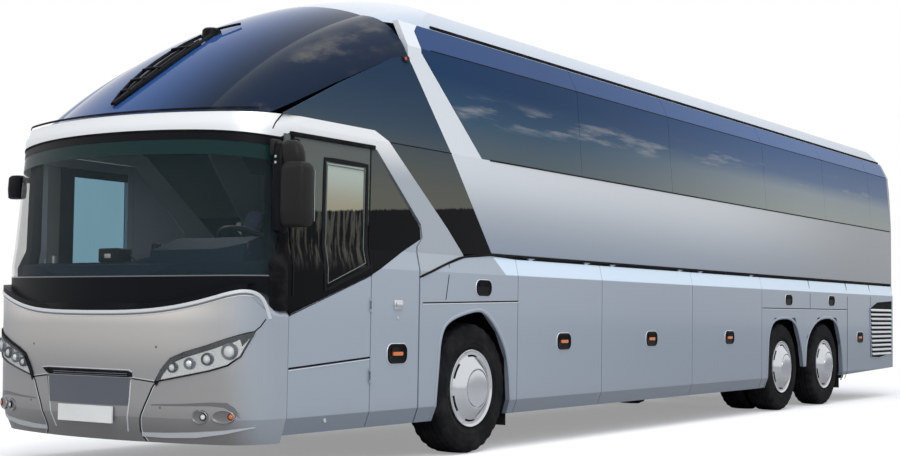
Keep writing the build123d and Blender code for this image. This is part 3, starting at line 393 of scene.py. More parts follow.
def tinted_glass(name, stops, deep=None, shine=0.10, far=None, strip_reflection=None, clouds=None):
    """Dark glass with a painted reflection: the stops list (height, colour) of the reflection painted into
    it.

    The painted sky grows paler towards the tail."""
    r = Recipe(name)
    height, behind = r.axis(2), r.axis(1)
    low, high = stops[0][0], stops[-1][0]
    # Painted reflection of the sky, stepped with height.
    span = r.smooth(height + 0.05 * r.noise(0.35, 3.0, stretch=(1.0, 0.6, 2.0)), low, high)
    tone = r.ramp(span, *(((z - low) / (high - low), colour) for z, colour in stops))
    # Painted reflection of a paler sky towards the tail.
    if far:
        paler = r.ramp(span, *(((z - low) / (high - low), colour) for z, colour in far))
        tone = r.mix(r.smooth(behind, at(0.5), at(8.5)), tone, paler)
    # Painted reflection of cloud streaks in a bank between two heights.
    if clouds:
        drift = height - 0.012 * behind
        cloud_streak = r.smooth(r.noise(1.1, 6.0, 0.6, stretch=(1.0, 0.7, 7.0)), 0.52, 0.66)
        bank = r.smooth(drift, clouds[0], clouds[0] + 0.10) * r.smooth(drift, clouds[1] + 0.12, clouds[1])
        tone = r.mix(cloud_streak * bank * 0.45, tone, clouds[2])
    # Painted reflection on the strip above the glass joint, paler towards the tail.
    if strip_reflection:
        tone = r.mix((height > GLASS_JOINT_Z) * 0.85, tone,
            r.mix(r.smooth(behind, at(0.5), at(8.5)), *strip_reflection))
    # Painted reflection darker towards +X, with painted cloud streaks near the side.
    if deep:
        tone = r.mix(r.smooth(r.axis(0), 0.05, 0.80) * 0.92, tone, deep)
        cloud_reflection = r.smooth(r.noise(2.6, 6.0, 0.6, stretch=(1.0, 0.35, 1.0)), 0.50, 0.72)
        cloud_side_mask = r.smooth(r.axis(0), 0.80, 0.98) * r.smooth(r.axis(0), 1.22, 1.05)
        tone = r.mix(cloud_reflection * cloud_side_mask * 0.75, tone, (0.115, 0.110, 0.100))
    r.finish(Base_Color=tone, Roughness=0.03 + 0.05 * r.noise(8.0, 3.0), Metallic=0.0)
    return r.finish(IOR=1.5, Specular_IOR_Level=shine, Coat_Weight=0.0)


# Passenger glass: a painted reflection of a blue sky over a slate horizon, paler towards the tail, with
# painted clouds.
side_glass = tinted_glass("privacy_glass", ((2.25, (0.080, 0.105, 0.118)), (2.60, (0.030, 0.072, 0.122)),
    (3.05, (0.008, 0.035, 0.095)), (3.30, (0.008, 0.035, 0.095))),
    far=((2.25, (0.30, 0.32, 0.29)), (2.60, (0.25, 0.29, 0.31)), (2.85, (0.08, 0.14, 0.25)),
    (3.30, (0.02, 0.08, 0.22))), strip_reflection=((0.022, 0.055, 0.150), (0.030, 0.090, 0.24)),
    clouds=(2.62, 2.80, (0.33, 0.33, 0.34)), shine=0.05)
# The dome: a painted reflection of a blue sky, darker towards +X, with painted cloud streaks.
dome_glass = tinted_glass("dome_glass", ((2.30, (0.022, 0.062, 0.180)), (3.00, (0.018, 0.058, 0.180)),
    (3.70, (0.030, 0.068, 0.180))), deep=(0.004, 0.009, 0.018), shine=0.08)


def cab_pane(name):
    """Side glass of the cab with a painted reflection: pale sky over a dark skyline of reeds, the lighter
    sliding pane, and the door's pane painted as what shows through it.
    """
    r = Recipe(name)
    height, behind = r.axis(2), r.axis(1)
    # Painted reflection: a skyline of reeds, pale sky above it and dark below it.
    reflected_reeds = r.noise(14.0, 6.0, 0.7, stretch=(1.0, 3.0, 0.4))
    skyline = 1.925 + 0.075 * (behind - at(-0.05)) + 0.05 * (reflected_reeds - 0.5)
    tone = r.ramp(r.smooth(height, 1.80, 3.00), (0.0, (0.105, 0.105, 0.082)), (0.35, (0.068, 0.083, 0.088)),
        (0.6, (0.035, 0.060, 0.092)), (1.0, (0.014, 0.036, 0.075)))
    # The door's pane is painted as what shows through it, and the sliding pane lighter as a painted
    # reflection.
    door = r.smooth(behind, at(-1.375), at(-1.385)) * (height < 2.30)
    tone = r.mix(door * 0.7, tone, (0.125, 0.142, 0.130))
    pane = (behind > at(-1.865)) * (behind < at(-1.455)) * (height < 2.115)
    tone = r.mix(pane * 0.9, tone, r.mix(r.smooth(height, 1.80, 2.10), (0.34, 0.31, 0.22),
        (0.44, 0.50, 0.45)))
    # Painted reflection of dark stalks below the skyline in the door's pane.
    reflected_stalks = r.smooth(r.noise(9.0, 5.0, 0.6, stretch=(1.0, 3.5, 0.5)), 0.46, 0.62)
    dark = r.mix(reflected_stalks * door * r.smooth(height, 1.35, 1.50), (0.0025, 0.003, 0.004), (0.060, 0.058, 0.048))
    tone = r.mix(r.smooth(height - skyline, -0.008, 0.008), dark, tone)
    r.finish(Base_Color=tone, Roughness=0.03 + 0.05 * r.noise(8.0, 3.0), Metallic=0.0)
    return r.finish(IOR=1.5, Specular_IOR_Level=0.04, Coat_Weight=0.0)


cab_side_glass = cab_pane("cab_side_glass")


def clear_glass(name, tint, alpha):
    """Glass that is seen through by alpha, with faint streaks."""
    r = Recipe(name)
    streaks = r.noise(2.2, 4.0, stretch=(3.0, 3.0, 0.4))
    r.finish(Base_Color=tint, Roughness=0.02, Alpha=alpha + 0.08 * streaks)
    material = r.finish(IOR=1.5, Specular_IOR_Level=0.12)
    material.surface_render_method = "BLENDED"
    return material


screen_glass = clear_glass("screen_glass", (0.030, 0.050, 0.055), 0.16)
sun_glass = clear_glass("sun_band_glass", (0.010, 0.035, 0.035), 0.72)
lens_glass = clear_glass("lens_glass", (0.60, 0.63, 0.65), 0.03)


def seen_through(name, tint):
    """Glass tinted by what passes through it."""
    r = Recipe(name)
    cloudy = r.noise(1.5, 3.0)
    r.finish(Base_Color=r.mix(cloudy * 0.3, tint, tuple(c * 0.8 for c in tint)), Roughness=0.0)
    return r.finish(Transmission_Weight=1.0, IOR=1.02)


door_glass = seen_through("door_glass", (0.22, 0.42, 0.52))
print("glass", [m.name for m in (side_glass, dome_glass, cab_side_glass, screen_glass, lens_glass,
    door_glass)])

# %% [markdown]
# ## Rubber, plastic, metal and cloth
# The rest of the finishes are everyday ones. Each gets the variation it has in life: dust that
# settles in the tread, fine pebbling on moulded plastic, streaks along brushed metal, a woven
# bump on seat cloth.

# %% Everyday finishes
RIBS_PER_METRE = 160.0


def rubber(name, colour):
    """Dull black rubber with dust on it."""
    r = Recipe(name)
    dusty = r.smooth(r.noise(6.0, 6.0, 0.65), 0.35, 0.75)
    base = r.mix(dusty * 0.5, colour, (0.045, 0.044, 0.044))
    return r.finish(Base_Color=base, Roughness=0.72 + 0.18 * dusty, Specular_IOR_Level=0.08,
        Normal=r.bump(r.noise(120.0, 3.0), 0.0004, 0.06))


def moulded(name, colour, shine=0.45):
    """Moulded plastic with a fine pebble."""
    r = Recipe(name)
    pebble = r.noise(420.0, 2.0)
    base = r.mix(r.noise(3.0, 4.0) * 0.5, colour, tuple(c * 1.5 + 0.003 for c in colour))
    return r.finish(Base_Color=base, Roughness=shine + 0.12 * pebble, Specular_IOR_Level=0.08,
        Normal=r.bump(pebble, 0.0004, 0.4))


def metal(name, colour, shine):
    """Brushed metal."""
    r = Recipe(name)
    brushed = r.noise(30.0, 5.0, stretch=(1.0, 8.0, 8.0))
    base = r.mix(brushed * 0.6, colour, tuple(c * 0.82 for c in colour))
    return r.finish(Base_Color=base, Roughness=shine + 0.12 * brushed, Metallic=0.92,
        Normal=r.bump(brushed, 0.0004, 0.3))


def woven(name, colour, spark):
    """Seat cloth with a weave and small coloured flecks."""
    r = Recipe(name)
    x, y, z = r.axis(0), r.axis(1), r.axis(2)
    weave = (x * 1500.0).sine() * ((z + y) * 1500.0).sine()
    fleck = r.smooth(r.noise(55.0, 2.0), 0.58, 0.66)
    base = r.mix(fleck * 0.5, colour, spark)
    return r.finish(Base_Color=base, Roughness=0.9, Normal=r.bump(weave, 0.0006, 0.6))


def lens(name, colour):
    """A coloured lamp lens with fine ribs across it."""
    r = Recipe(name)
    prisms = (r.axis(2) * RIBS_PER_METRE * 6.28).sine()
    base = r.mix(r.noise(12.0, 3.0) * 0.4, colour, tuple(c * 0.6 for c in colour))
    r.finish(Base_Color=base, Roughness=0.12 + 0.05 * r.noise(20.0), Normal=r.bump(prisms, 0.0008, 0.6))
    return r.finish(Coat_Weight=0.6, Coat_Roughness=0.03)


tyre_rubber = rubber("tyre_rubber", (0.006, 0.0065, 0.008))
seal_rubber = rubber("seal_rubber", (0.003, 0.003, 0.004))
black_plastic = moulded("black_plastic", (0.0035, 0.004, 0.0055), 0.35)
trim_black = moulded("trim_black", (0.017, 0.016, 0.016), 0.30)
underframe = moulded("underframe_paint", (0.020, 0.020, 0.022), 0.6)
dash_plastic = moulded("dash_plastic", (0.010, 0.020, 0.036), 0.6)
trim_grey = moulded("trim_grey", (0.13, 0.15, 0.14), 0.5)
chrome = metal("polished_metal", (0.66, 0.68, 0.71), 0.10)
steel_dark = metal("blackened_steel", (0.05, 0.05, 0.055), 0.35)
mirror_silver = metal("mirror_silver", (0.55, 0.60, 0.64), 0.02)
steel = metal("satin_steel", (0.62, 0.63, 0.66), 0.26)
reflector = metal("lamp_reflector", (0.96, 0.97, 0.94), 0.12)
cloth = woven("seat_cloth", (0.012, 0.018, 0.045), (0.05, 0.08, 0.18))
orange_lens = lens("orange_lens", (0.75, 0.17, 0.02))
red_lens = lens("red_lens", (0.45, 0.010, 0.012))
white_lens = lens("white_lens", (0.78, 0.80, 0.76))
plate_white = moulded("plate_white", (0.72, 0.72, 0.70), 0.35)
print("finishes", len(bpy.data.materials))

# %% [markdown]
# ## Carry the finishes over to the frame
# Every solid of the frame gets a finish by name. The body shell is silver, the glass is dark or
# clear, and everything under the floor is the same satin black.

# %% Finish of each solid
# The shell's paints and glass carry the painted shade, highlight and reflection set up above.
FINISHES = {"front_fascia": hood_paint, "front_band": band_paint, "roof_shell": roof_paint,
    "side_wall_left": wall_paint, "side_wall_right": wall_paint, "rear_wall": wall_paint, "axles": underframe,
    "cab_glass": cab_side_glass, "chassis_frame": underframe, "dashboard": dash_plastic,
    "dome_screen": dome_glass, "door_arm_front": steel, "door_arm_middle": steel, "engine_block": underframe,
    "knuckle_left": underframe, "knuckle_right": underframe, "mirrors": black_plastic,
    "driver_door_glass": cab_side_glass, "door_front_glass": door_glass, "door_middle_glass": side_glass,
    "number_plates": plate_white, "passenger_deck": trim_grey, "rear_window": side_glass, "seats": cloth,
    "side_windows_left": side_glass, "side_windows_right": side_glass, "steering_wheel": black_plastic,
    "lamps": reflector, "window_posts": black_plastic, "windscreen": screen_glass, "wipers": black_plastic}


def finish_of(name):
    if name in FINISHES:
        return FINISHES[name]
    if name.startswith("tyre_"):
        return tyre_rubber
    if name.startswith("wheel_"):
        return steel
    return paint


for name, solid in frame["nodes"].items():
    solid.data.materials.clear()
    solid.data.materials.append(finish_of(name))
print("finished solids", len(frame["nodes"]))

# %% [markdown]
# ## Light
# Soft studio light: an even pale world, one big panel overhead, a second one high ahead of the
# nose to model its roundness, and a small lamp in the cab. The camera sees the world as white,
# and so do glossy and see-through surfaces, while the light that falls on the coach stays at a
# plain level.

# %% World and lamps
world = bpy.data.worlds.new("studio")
bpy.context.scene.world = world
world.use_nodes = True
wt = world.node_tree
rays = wt.nodes.new("ShaderNodeLightPath")
soft, white = wt.nodes["Background"], wt.nodes.new("ShaderNodeBackground")
soft.inputs["Color"].default_value = (0.88, 0.93, 1.0, 1.0)
soft.inputs["Strength"].default_value = 0.74
white.inputs["Color"].default_value = (1.0, 1.0, 1.0, 1.0)
white.inputs["Strength"].default_value = 1.0
seen = rays.outputs["Is Camera Ray"]
for kind in ("Is Glossy Ray", "Is Transmission Ray"):
    either = wt.nodes.new("ShaderNodeMath")
    either.operation = "MAXIMUM"
    wt.links.new(seen, either.inputs[0])
    wt.links.new(rays.outputs[kind], either.inputs[1])
    seen = either.outputs[0]
blend = wt.nodes.new("ShaderNodeMixShader")
wt.links.new(seen, blend.inputs[0])
wt.links.new(soft.outputs[0], blend.inputs[1])
wt.links.new(white.outputs[0], blend.inputs[2])
wt.links.new(blend.outputs[0], wt.nodes["World Output"].inputs["Surface"])


def lamp(name, where, aim, size, power):
    """A square area lamp turned towards a point."""
    data = bpy.data.lights.new(name, "AREA")
    data.size, data.energy = size, power
    obj = in_scene(name, data)
    obj.location = where
    obj.rotation_euler = (Vector(aim) - Vector(where)).to_track_quat("-Z", "Y").to_euler()


lamp("sky_panel", (2.0, -2.0, 16.0), (0.0, 0.0, 1.5), 14.0, 2600.0)
bpy.data.objects["sky_panel"].visible_glossy = False
lamp("cab_lamp", (0.0, at(-1.75), 2.22), (0.0, at(-1.60), 1.0), 0.9, 8.0)
lamp("nose_panel", (9.0, -15.0, 10.0), (0.0, -3.0, 1.5), 8.0, 900.0)

# %% [markdown]
# ## Floor
# The floor is pale and takes the coach's shadow near it. Further out it turns into plain white,
# so that no horizon shows. Light that bounces off it meets a greyer floor than the camera does,
# because a bright floor would light the sills from below.

# %% Floor
floor_mesh = bpy.data.meshes.new("floor")
floor_mesh.from_pydata([(-90, -90, 0), (90, -90, 0), (90, 90, 0), (-90, 90, 0)], [], [(0, 1, 2, 3)])
floor = in_scene("floor", floor_mesh)
r = Recipe("pale_floor")
path_x, path_y = r.axis(0) / 5.0, r.axis(1) / 10.5
away = path_x * path_x + path_y * path_y
camera_ray = r.node("ShaderNodeLightPath")
r.finish(Base_Color=r.mix(camera_ray, (0.40, 0.40, 0.40), (0.96, 0.96, 0.96)), Roughness=0.95,
    Specular_IOR_Level=0.0)
glow = r.node("ShaderNodeEmission", {}, {"Color": (1.0, 1.0, 1.0, 1.0), "Strength": 1.0})
share = camera_ray * (0.30 + 0.70 * r.smooth(away, 0.5, 2.0))
mixed = r.node("ShaderNodeMixShader", {}, {0: share, 1: Value(r, r.shader.outputs[0]), 2: glow})
r.tree.links.new(mixed.socket, r.tree.nodes["Material Output"].inputs["Surface"])
floor_mesh.materials.append(r.material)
print("lamps", len(bpy.data.lights))

# %% [markdown]
# ## Making pieces
# Most trim on a coach is one of four shapes: a skin laid on the body, a bar that follows a line, a turned
# part, or a block with soft edges. One helper for each keeps the rest of the lesson short. All of them end in
# the same place, which gives the piece its material and says which body it rides on.

# %% Helpers for pieces
SLOT_FINISHES = {"black_plastic": (black_plastic, trim_black, seal_rubber, steel_dark, trim_grey,
    dash_plastic, grille_paint), "body_paint": (paint, highlight_paint, silver_shade, hood_paint, band_paint,
    roof_paint, plate_white), "dark_glass": (sun_glass, lens_glass, mirror_silver, reflector, orange_lens,
    red_lens, white_lens), "door_steel": (steel,), "wheel_chrome": (chrome,), "seat_cloth": (cloth,),
    "tyre_rubber": (tyre_rubber,)}
SLOT_OF = {finish.name: slot for slot, finishes in SLOT_FINISHES.items() for finish in finishes}


def add_piece(name, body, material, verts, faces, slot=None, smooth=35.0):
    """A mesh object that rides on a body; edges sharper than the angle stay crisp.

    The slot names the finish that would stand for it where only the frame's materials are known; it is looked
    up but not used."""
    mesh = bpy.data.meshes.new(name)
    mesh.from_pydata([tuple(v) for v in verts], [], faces)
    work = bmesh.new()
    work.from_mesh(mesh)
    bmesh.ops.remove_doubles(work, verts=work.verts, dist=0.00002)
    bmesh.ops.recalc_face_normals(work, faces=work.faces)
    work.to_mesh(mesh)
    work.free()
    mesh.materials.append(material)
    mesh.shade_smooth()
    mesh.set_sharp_from_angle(angle=math.radians(smooth))
    piece = in_scene(name, mesh)
    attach(piece, body)
    slot or SLOT_OF[material.name]
    return piece


def made(start):
    """How many pieces there are whose names start so."""
    return sum(o.name.startswith(start) for o in bpy.data.objects)


def joined(parts):
    """Several point and face lists as one."""
    points, faces = [], []
    for more, quads in parts:
        faces += [tuple(len(points) + k for k in f) for f in quads]
        points += more
    return points, faces


def grid_faces(rows, columns, closed=False):
    """Quads of a grid of points, its rows joined end to end if closed."""
    faces = []
    for i in range(rows - 1):
        for j in range(columns if closed else columns - 1):
            k = (j + 1) % columns
            faces.append((i * columns + j, i * columns + k, (i + 1) * columns + k, (i + 1) * columns + j))
    return faces


def skin(name, body, material, rows, thickness, slot=None, smooth=35.0):
    """A sheet through rows of points, given a thickness inwards along its own normals."""
    columns = len(rows[0])
    points = [Vector(p) for row in rows for p in row]
    deep = []
    for i, row in enumerate(rows):
        for j in range(columns):
            along = Vector(row[min(j + 1, columns - 1)]) - Vector(row[max(j - 1, 0)])
            across = Vector(rows[min(i + 1, len(rows) - 1)][j]) - Vector(rows[max(i - 1, 0)][j])
            normal = along.cross(across)
            if normal.length < 1e-9:
                normal = Vector((0.0, 0.0, 1.0))
            deep.append(Vector(row[j]) + normal.normalized() * thickness)
    total = len(points)
    top = grid_faces(len(rows), columns)
    faces = top + [tuple(total + k for k in reversed(f)) for f in top]
    rim = list(range(columns)) + [i * columns + columns - 1 for i in range(1, len(rows))]
    rim += [(len(rows) - 1) * columns + j for j in range(columns - 2, -1, -1)] + [i * columns
        for i in range(len(rows) - 2, 0, -1)]
    faces += [(a, b, total + b, total + a) for a, b in zip(rim, rim[1:] + rim[:1])]
    return add_piece(name, body, material, points + deep, faces, slot, smooth)


def sweep(name, body, material, path, section, out, closed=False):
    """Carries a flat section along a line.

    out(point) is the direction that the section's second axis takes."""
    rows = []
    count = len(path)
    for i, point in enumerate(path):
        ahead = path[(i + 1) % count] if closed or i < count - 1 else point
        behind = path[i - 1] if closed or i else point
        along = (ahead - behind).normalized()
        up = out(point)
        up = (up - along * up.dot(along)).normalized()
        side = along.cross(up)
        rows.append([point + side * a + up * b for a, b in section])
    if closed:
        rows.append(rows[0])
    size = len(section)
    faces = grid_faces(len(rows), size, closed=True)
    if not closed:
        faces += [tuple(range(size)), tuple(range(len(rows) * size - 1, (len(rows) - 1) * size - 1, -1))]
    return add_piece(name, body, material, [p for row in rows for p in row], faces)


def turned_over(rows, over):
    """Rows of points, each of them backwards if over, so that a skin faces the other way."""
    return [list(reversed(row)) for row in rows] if over else rows


def lathe_faces(steps, size):
    """Quads between the steps of a turned profile that has so many points."""
    return [(k * size + j, k * size + j + 1, (k + 1) % steps * size + j + 1, (k + 1) % steps * size + j)
        for k in range(steps) for j in range(size - 1)]


def turned(name, body, material, centre, profile, axis, steps):
    """A part turned on a lathe; the profile lists (offset along the axis, radius)."""
    turn = {"y": lambda o, a, b: Vector((a, o, b)), "z": lambda o, a, b: Vector((a, b, o))}[axis]
    verts = []
    for k in range(steps):
        angle = 2.0 * math.pi * k / steps
        verts += [Vector(centre) + turn(o, r * math.cos(angle), r * math.sin(angle)) for o, r in profile]
    return add_piece(name, body, material, verts, lathe_faces(steps, len(profile)))


def block(name, body, material, low, high, edge, rounds, slot=None):
    """A block between two corners with rounded edges."""
    work = bmesh.new()
    bmesh.ops.create_cube(work, size=1.0)
    for v in work.verts:
        v.co = Vector([low[k] + (v.co[k] + 0.5) * (high[k] - low[k]) for k in range(3)])
    bmesh.ops.bevel(work, geom=work.edges[:], offset=edge, segments=rounds, profile=0.5, affect="EDGES",
        clamp_overlap=True)
    verts = [v.co.copy() for v in work.verts]
    faces = [tuple(v.index for v in f.verts) for f in work.faces]
    work.free()
    return add_piece(name, body, material, verts, faces, slot, 50.0)


def tube(name, body, material, points, radius):
    """A round bar along a line of points."""
    data = bpy.data.curves.new(name, "CURVE")
    data.dimensions = "3D"
    data.bevel_depth, data.bevel_resolution, data.resolution_u = radius, 3, 10
    data.use_fill_caps = True
    line = data.splines.new("NURBS")
    line.points.add(len(points) - 1)
    for spot, point in zip(line.points, points):
        spot.co = (*point, 1.0)
    line.use_endpoint_u = True
    line.order_u = 3
    data.materials.append(material)
    curve = in_scene(name, data)
    mesh = bpy.data.meshes.new_from_object(curve.evaluated_get(bpy.context.evaluated_depsgraph_get()))
    bpy.data.objects.remove(curve)
    mesh.name = name
    mesh.shade_smooth()
    piece = in_scene(name, mesh)
    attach(piece, body)
    return piece


def line_points(corners, step=0.05):
    """Points along straight runs between corners given as (a, b) pairs, no further apart than a step."""
    found = [corners[0]]
    for (a0, b0), (a1, b1) in zip(corners, corners[1:]):
        count = max(1, math.ceil(math.hypot(a1 - a0, b1 - b0) / step))
        found += [(a0 + (a1 - a0) * k / count, b0 + (b1 - b0) * k / count) for k in range(1, count + 1)]
    return found


def curve_points(corners, step=0.05, rounds=3):
    """The same runs with their corners cut smooth."""
    for _ in range(rounds):
        cut = [corners[0]]
        for (a0, b0), (a1, b1) in zip(corners, corners[1:]):
            cut += [(a0 * 0.75 + a1 * 0.25, b0 * 0.75 + b1 * 0.25),
                (a0 * 0.25 + a1 * 0.75, b0 * 0.25 + b1 * 0.75)]
        corners = cut + [corners[-1]]
    return line_points(corners, step)


def outward(point):
    """Direction straight out of the body's flank."""
    return Vector((1.0 if point.x > 0 else -1.0, 0.0, 0.0))


def bead(width, height):
    """A small half-round section, sunk a little so that no gap shows under it."""
    turns = [math.pi * k / 6 for k in range(7)]
    return [(-math.cos(t) * width / 2, math.sin(t) * height) for t in turns] + [(width / 2, -0.004),
        (-width / 2, -0.004)]


def strip(width, height):
    """A thin flat section with its top corners taken off."""
    c = min(height, width) * 0.3
    return [(-width / 2, -0.003), (-width / 2, height - c), (-width / 2 + c, height), (width / 2 - c, height),
        (width / 2, height - c), (width / 2, -0.003)]


print("helpers ready")

# %% [markdown]
# ## Tyres
# A coach tyre has a fat sidewall with raised rings, a square shoulder cut by short notches and
# four grooves round the tread. The section is turned like a vase; the notches are real gaps,
# made by pulling two of every four shoulder points inwards.

# %% Tyres
WHEEL_CENTRE_Z = 0.511
TYRE_SECTION = ((-0.112, 0.288), (-0.124, 0.298), (-0.137, 0.322), (-0.141, 0.324), (-0.146, 0.350),
    (-0.1495, 0.356), (-0.1495, 0.362), (-0.148, 0.368), (-0.149, 0.405), (-0.149, 0.430), (-0.1475, 0.436),
    (-0.1475, 0.441), (-0.148, 0.446), (-0.145, 0.466), (-0.136, 0.488), (-0.128, 0.499), (-0.108, 0.5075),
    (-0.070, 0.510), (-0.068, 0.499), (-0.060, 0.499), (-0.058, 0.510), (-0.026, 0.511), (-0.024, 0.499),
    (-0.016, 0.499), (-0.014, 0.511))
TYRE_SECTION = TYRE_SECTION + tuple((-o, r) for o, r in reversed(TYRE_SECTION))
SHOULDER = {k for k, (o, r) in enumerate(TYRE_SECTION) if r > 0.485 and abs(o) > 0.105}


def tyre_shell(centre, steps):
    """Points and faces of one tyre."""
    verts = []
    for k in range(steps):
        angle = 2.0 * math.pi * k / steps
        for j, (offset, radius) in enumerate(TYRE_SECTION):
            if j in SHOULDER and k % 4 in (0, 1):
                offset, radius = offset * 0.985, radius - 0.006
            verts.append(Vector(centre) + Vector((offset, radius * math.cos(angle),
                radius * math.sin(angle))))
    return verts, lathe_faces(steps, len(TYRE_SECTION))


for place, distance, centres in (("front", 0.0, (WHEEL_X,)), ("drive", DRIVE_AXLE, (WHEEL_X, TWIN_X)),
        ("tag", TAG_AXLE, (WHEEL_X,))):
    for side, label in SIDES:
        verts, faces = joined(tyre_shell((side * x, at(distance), WHEEL_CENTRE_Z), 120) for x in centres)
        piece = add_piece(f"tread_{place}_{label}", f"{place}_wheel_{label}", tyre_rubber, verts, faces,
            smooth=28.0)
        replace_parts(piece, f"tyre_{place}_{label}")
print("tyres", made("tread_"))

# %% [markdown]
# ## Wheel covers
# Polished covers hide the nuts: a rolled rim, a step down, a dish that swells outwards, and a flat cap in the
# middle with a thin ring. Six crescent slots near the rim let air through. The dish is a turned skin whose
# slot faces are coloured black as a painted shade for the openings and set back.

# %% Wheel covers
COVER = ((0.140, 0.304), (0.146, 0.303), (0.149, 0.299), (0.148, 0.294), (0.142, 0.288), (0.136, 0.277),
    (0.138, 0.262), (0.146, 0.247), (0.157, 0.232), (0.170, 0.213), (0.184, 0.194), (0.194, 0.178),
    (0.200, 0.166), (0.2035, 0.158), (0.2030, 0.1530), (0.1900, 0.1500), (0.1900, 0.146), (0.2030, 0.142),
    (0.205, 0.120), (0.2065, 0.080), (0.2075, 0.040), (0.2077, 0.010), (0.2077, 0.0001))
SLOT_STEPS = 96


def wheel_cover(name, body, centre, side):
    """A turned cover with crescent slots, and dark patches behind them as painted shade."""
    centre = Vector(centre)
    verts, size, faces, dark = [], len(COVER), [], []
    for k in range(SLOT_STEPS):
        angle = 2.0 * math.pi * k / SLOT_STEPS
        verts += [centre + Vector((side * o, r * math.cos(angle), r * math.sin(angle))) for o, r in COVER]
    for k in range(SLOT_STEPS):
        n = (k + 1) % SLOT_STEPS
        phase = k % 16
        for j in range(size - 1):
            quad = (k * size + j, k * size + j + 1, n * size + j + 1, n * size + j)
            slot = (j == 6 and 3 <= phase <= 10) or (j == 5 and 4 <= phase <= 9)
            (dark if slot else faces).append(quad)
    cover = add_piece(name, body, chrome, verts, faces, smooth=40.0)
    # Painted shade: the slot faces set back in black.
    behind = [v - Vector((side * 0.012, 0.0, 0.0)) for v in verts]
    add_piece(name + "_slots", body, black_plastic, behind, dark)
    return cover


for place, distance in (("front", 0.0), ("drive", DRIVE_AXLE), ("tag", TAG_AXLE)):
    for side, label in SIDES:
        wheel_cover(f"cover_{place}_{label}", f"{place}_wheel_{label}",
            (side * WHEEL_X, at(distance), WHEEL_CENTRE_Z), side)
print("covers", made("cover_"))

# %% [markdown]
# ## Headlamps
# Each headlamp is one swept pocket with four round lamps in a row, the outer one largest. We
# lay a bright reflector on the pocket, give it a dark edge, and set the lamps on it facing
# straight out of the surface. A clear skin closes the pocket, as the real lens does.

# %% Headlamps
LAMP_TOP = ((0.590, 0.634), (0.640, 0.715), (0.705, 0.786), (0.800, 0.824), (0.960, 0.872), (1.120, 0.928),
    (1.222, 0.966))
LAMP_LOW = ((0.590, 0.634), (0.700, 0.655), (0.844, 0.684), (0.980, 0.713), (1.092, 0.748), (1.160, 0.806),
    (1.222, 0.966))
LAMP_BULBS = ((0.724, 0.728, 0.030), (0.845, 0.756, 0.034), (0.965, 0.786, 0.036), (1.104, 0.838, 0.048))


def surface_normal(place, x, z):
    """Which way a surface faces at a point, found from three points on it."""
    p = place(x, z)
    normal = (place(x + 0.01, z) - p).cross(place(x, z + 0.01) - p)
    return normal.normalized() * (1.0 if normal.y < 0 else -1.0)


def facing(name, body, material, where, normal, profile, steps=32, slot=None, squash=1.0):
    """A turned part standing on a surface: the profile lists (height above it, radius)."""
    side = normal.cross(Vector((0.0, 0.0, 1.0))).normalized()
    up = side.cross(normal)
    verts = []
    for k in range(steps):
        angle = 2.0 * math.pi * k / steps
        verts += [where + normal * h + side * (r * math.cos(angle)) + up * (r * squash * math.sin(angle))
            for h, r in profile]
    return add_piece(name, body, material, verts, lathe_faces(steps, len(profile)), slot)


def along(rows, count):
    """Evenly spaced points along a run of corners."""
    lengths = [0.0]
    for a, b in zip(rows, rows[1:]):
        lengths.append(lengths[-1] + math.hypot(b[0] - a[0], b[1] - a[1]))
    found = []
    for k in range(count):
        want = lengths[-1] * k / (count - 1)
        j = max(i for i in range(len(rows) - 1) if lengths[i] <= want + 1e-9)
        share = (want - lengths[j]) / (lengths[j + 1] - lengths[j])
        found.append((rows[j][0] + share * (rows[j + 1][0] - rows[j][0]),
            rows[j][1] + share * (rows[j + 1][1] - rows[j][1])))
    return found


def patch(place, top, low, side, lift, across=6, count=24):
    """Rows of points that fill the space between two edge lines on a surface."""
    a, b = along(top, count), along(low, count)
    rows = []
    for i in range(across + 1):
        s = i / across
        rows.append([place(side * (p[0] + s * (q[0] - p[0])), p[1] + s * (q[1] - p[1]), lift)
            for p, q in zip(a, b)])
    return turned_over(rows, side < 0)


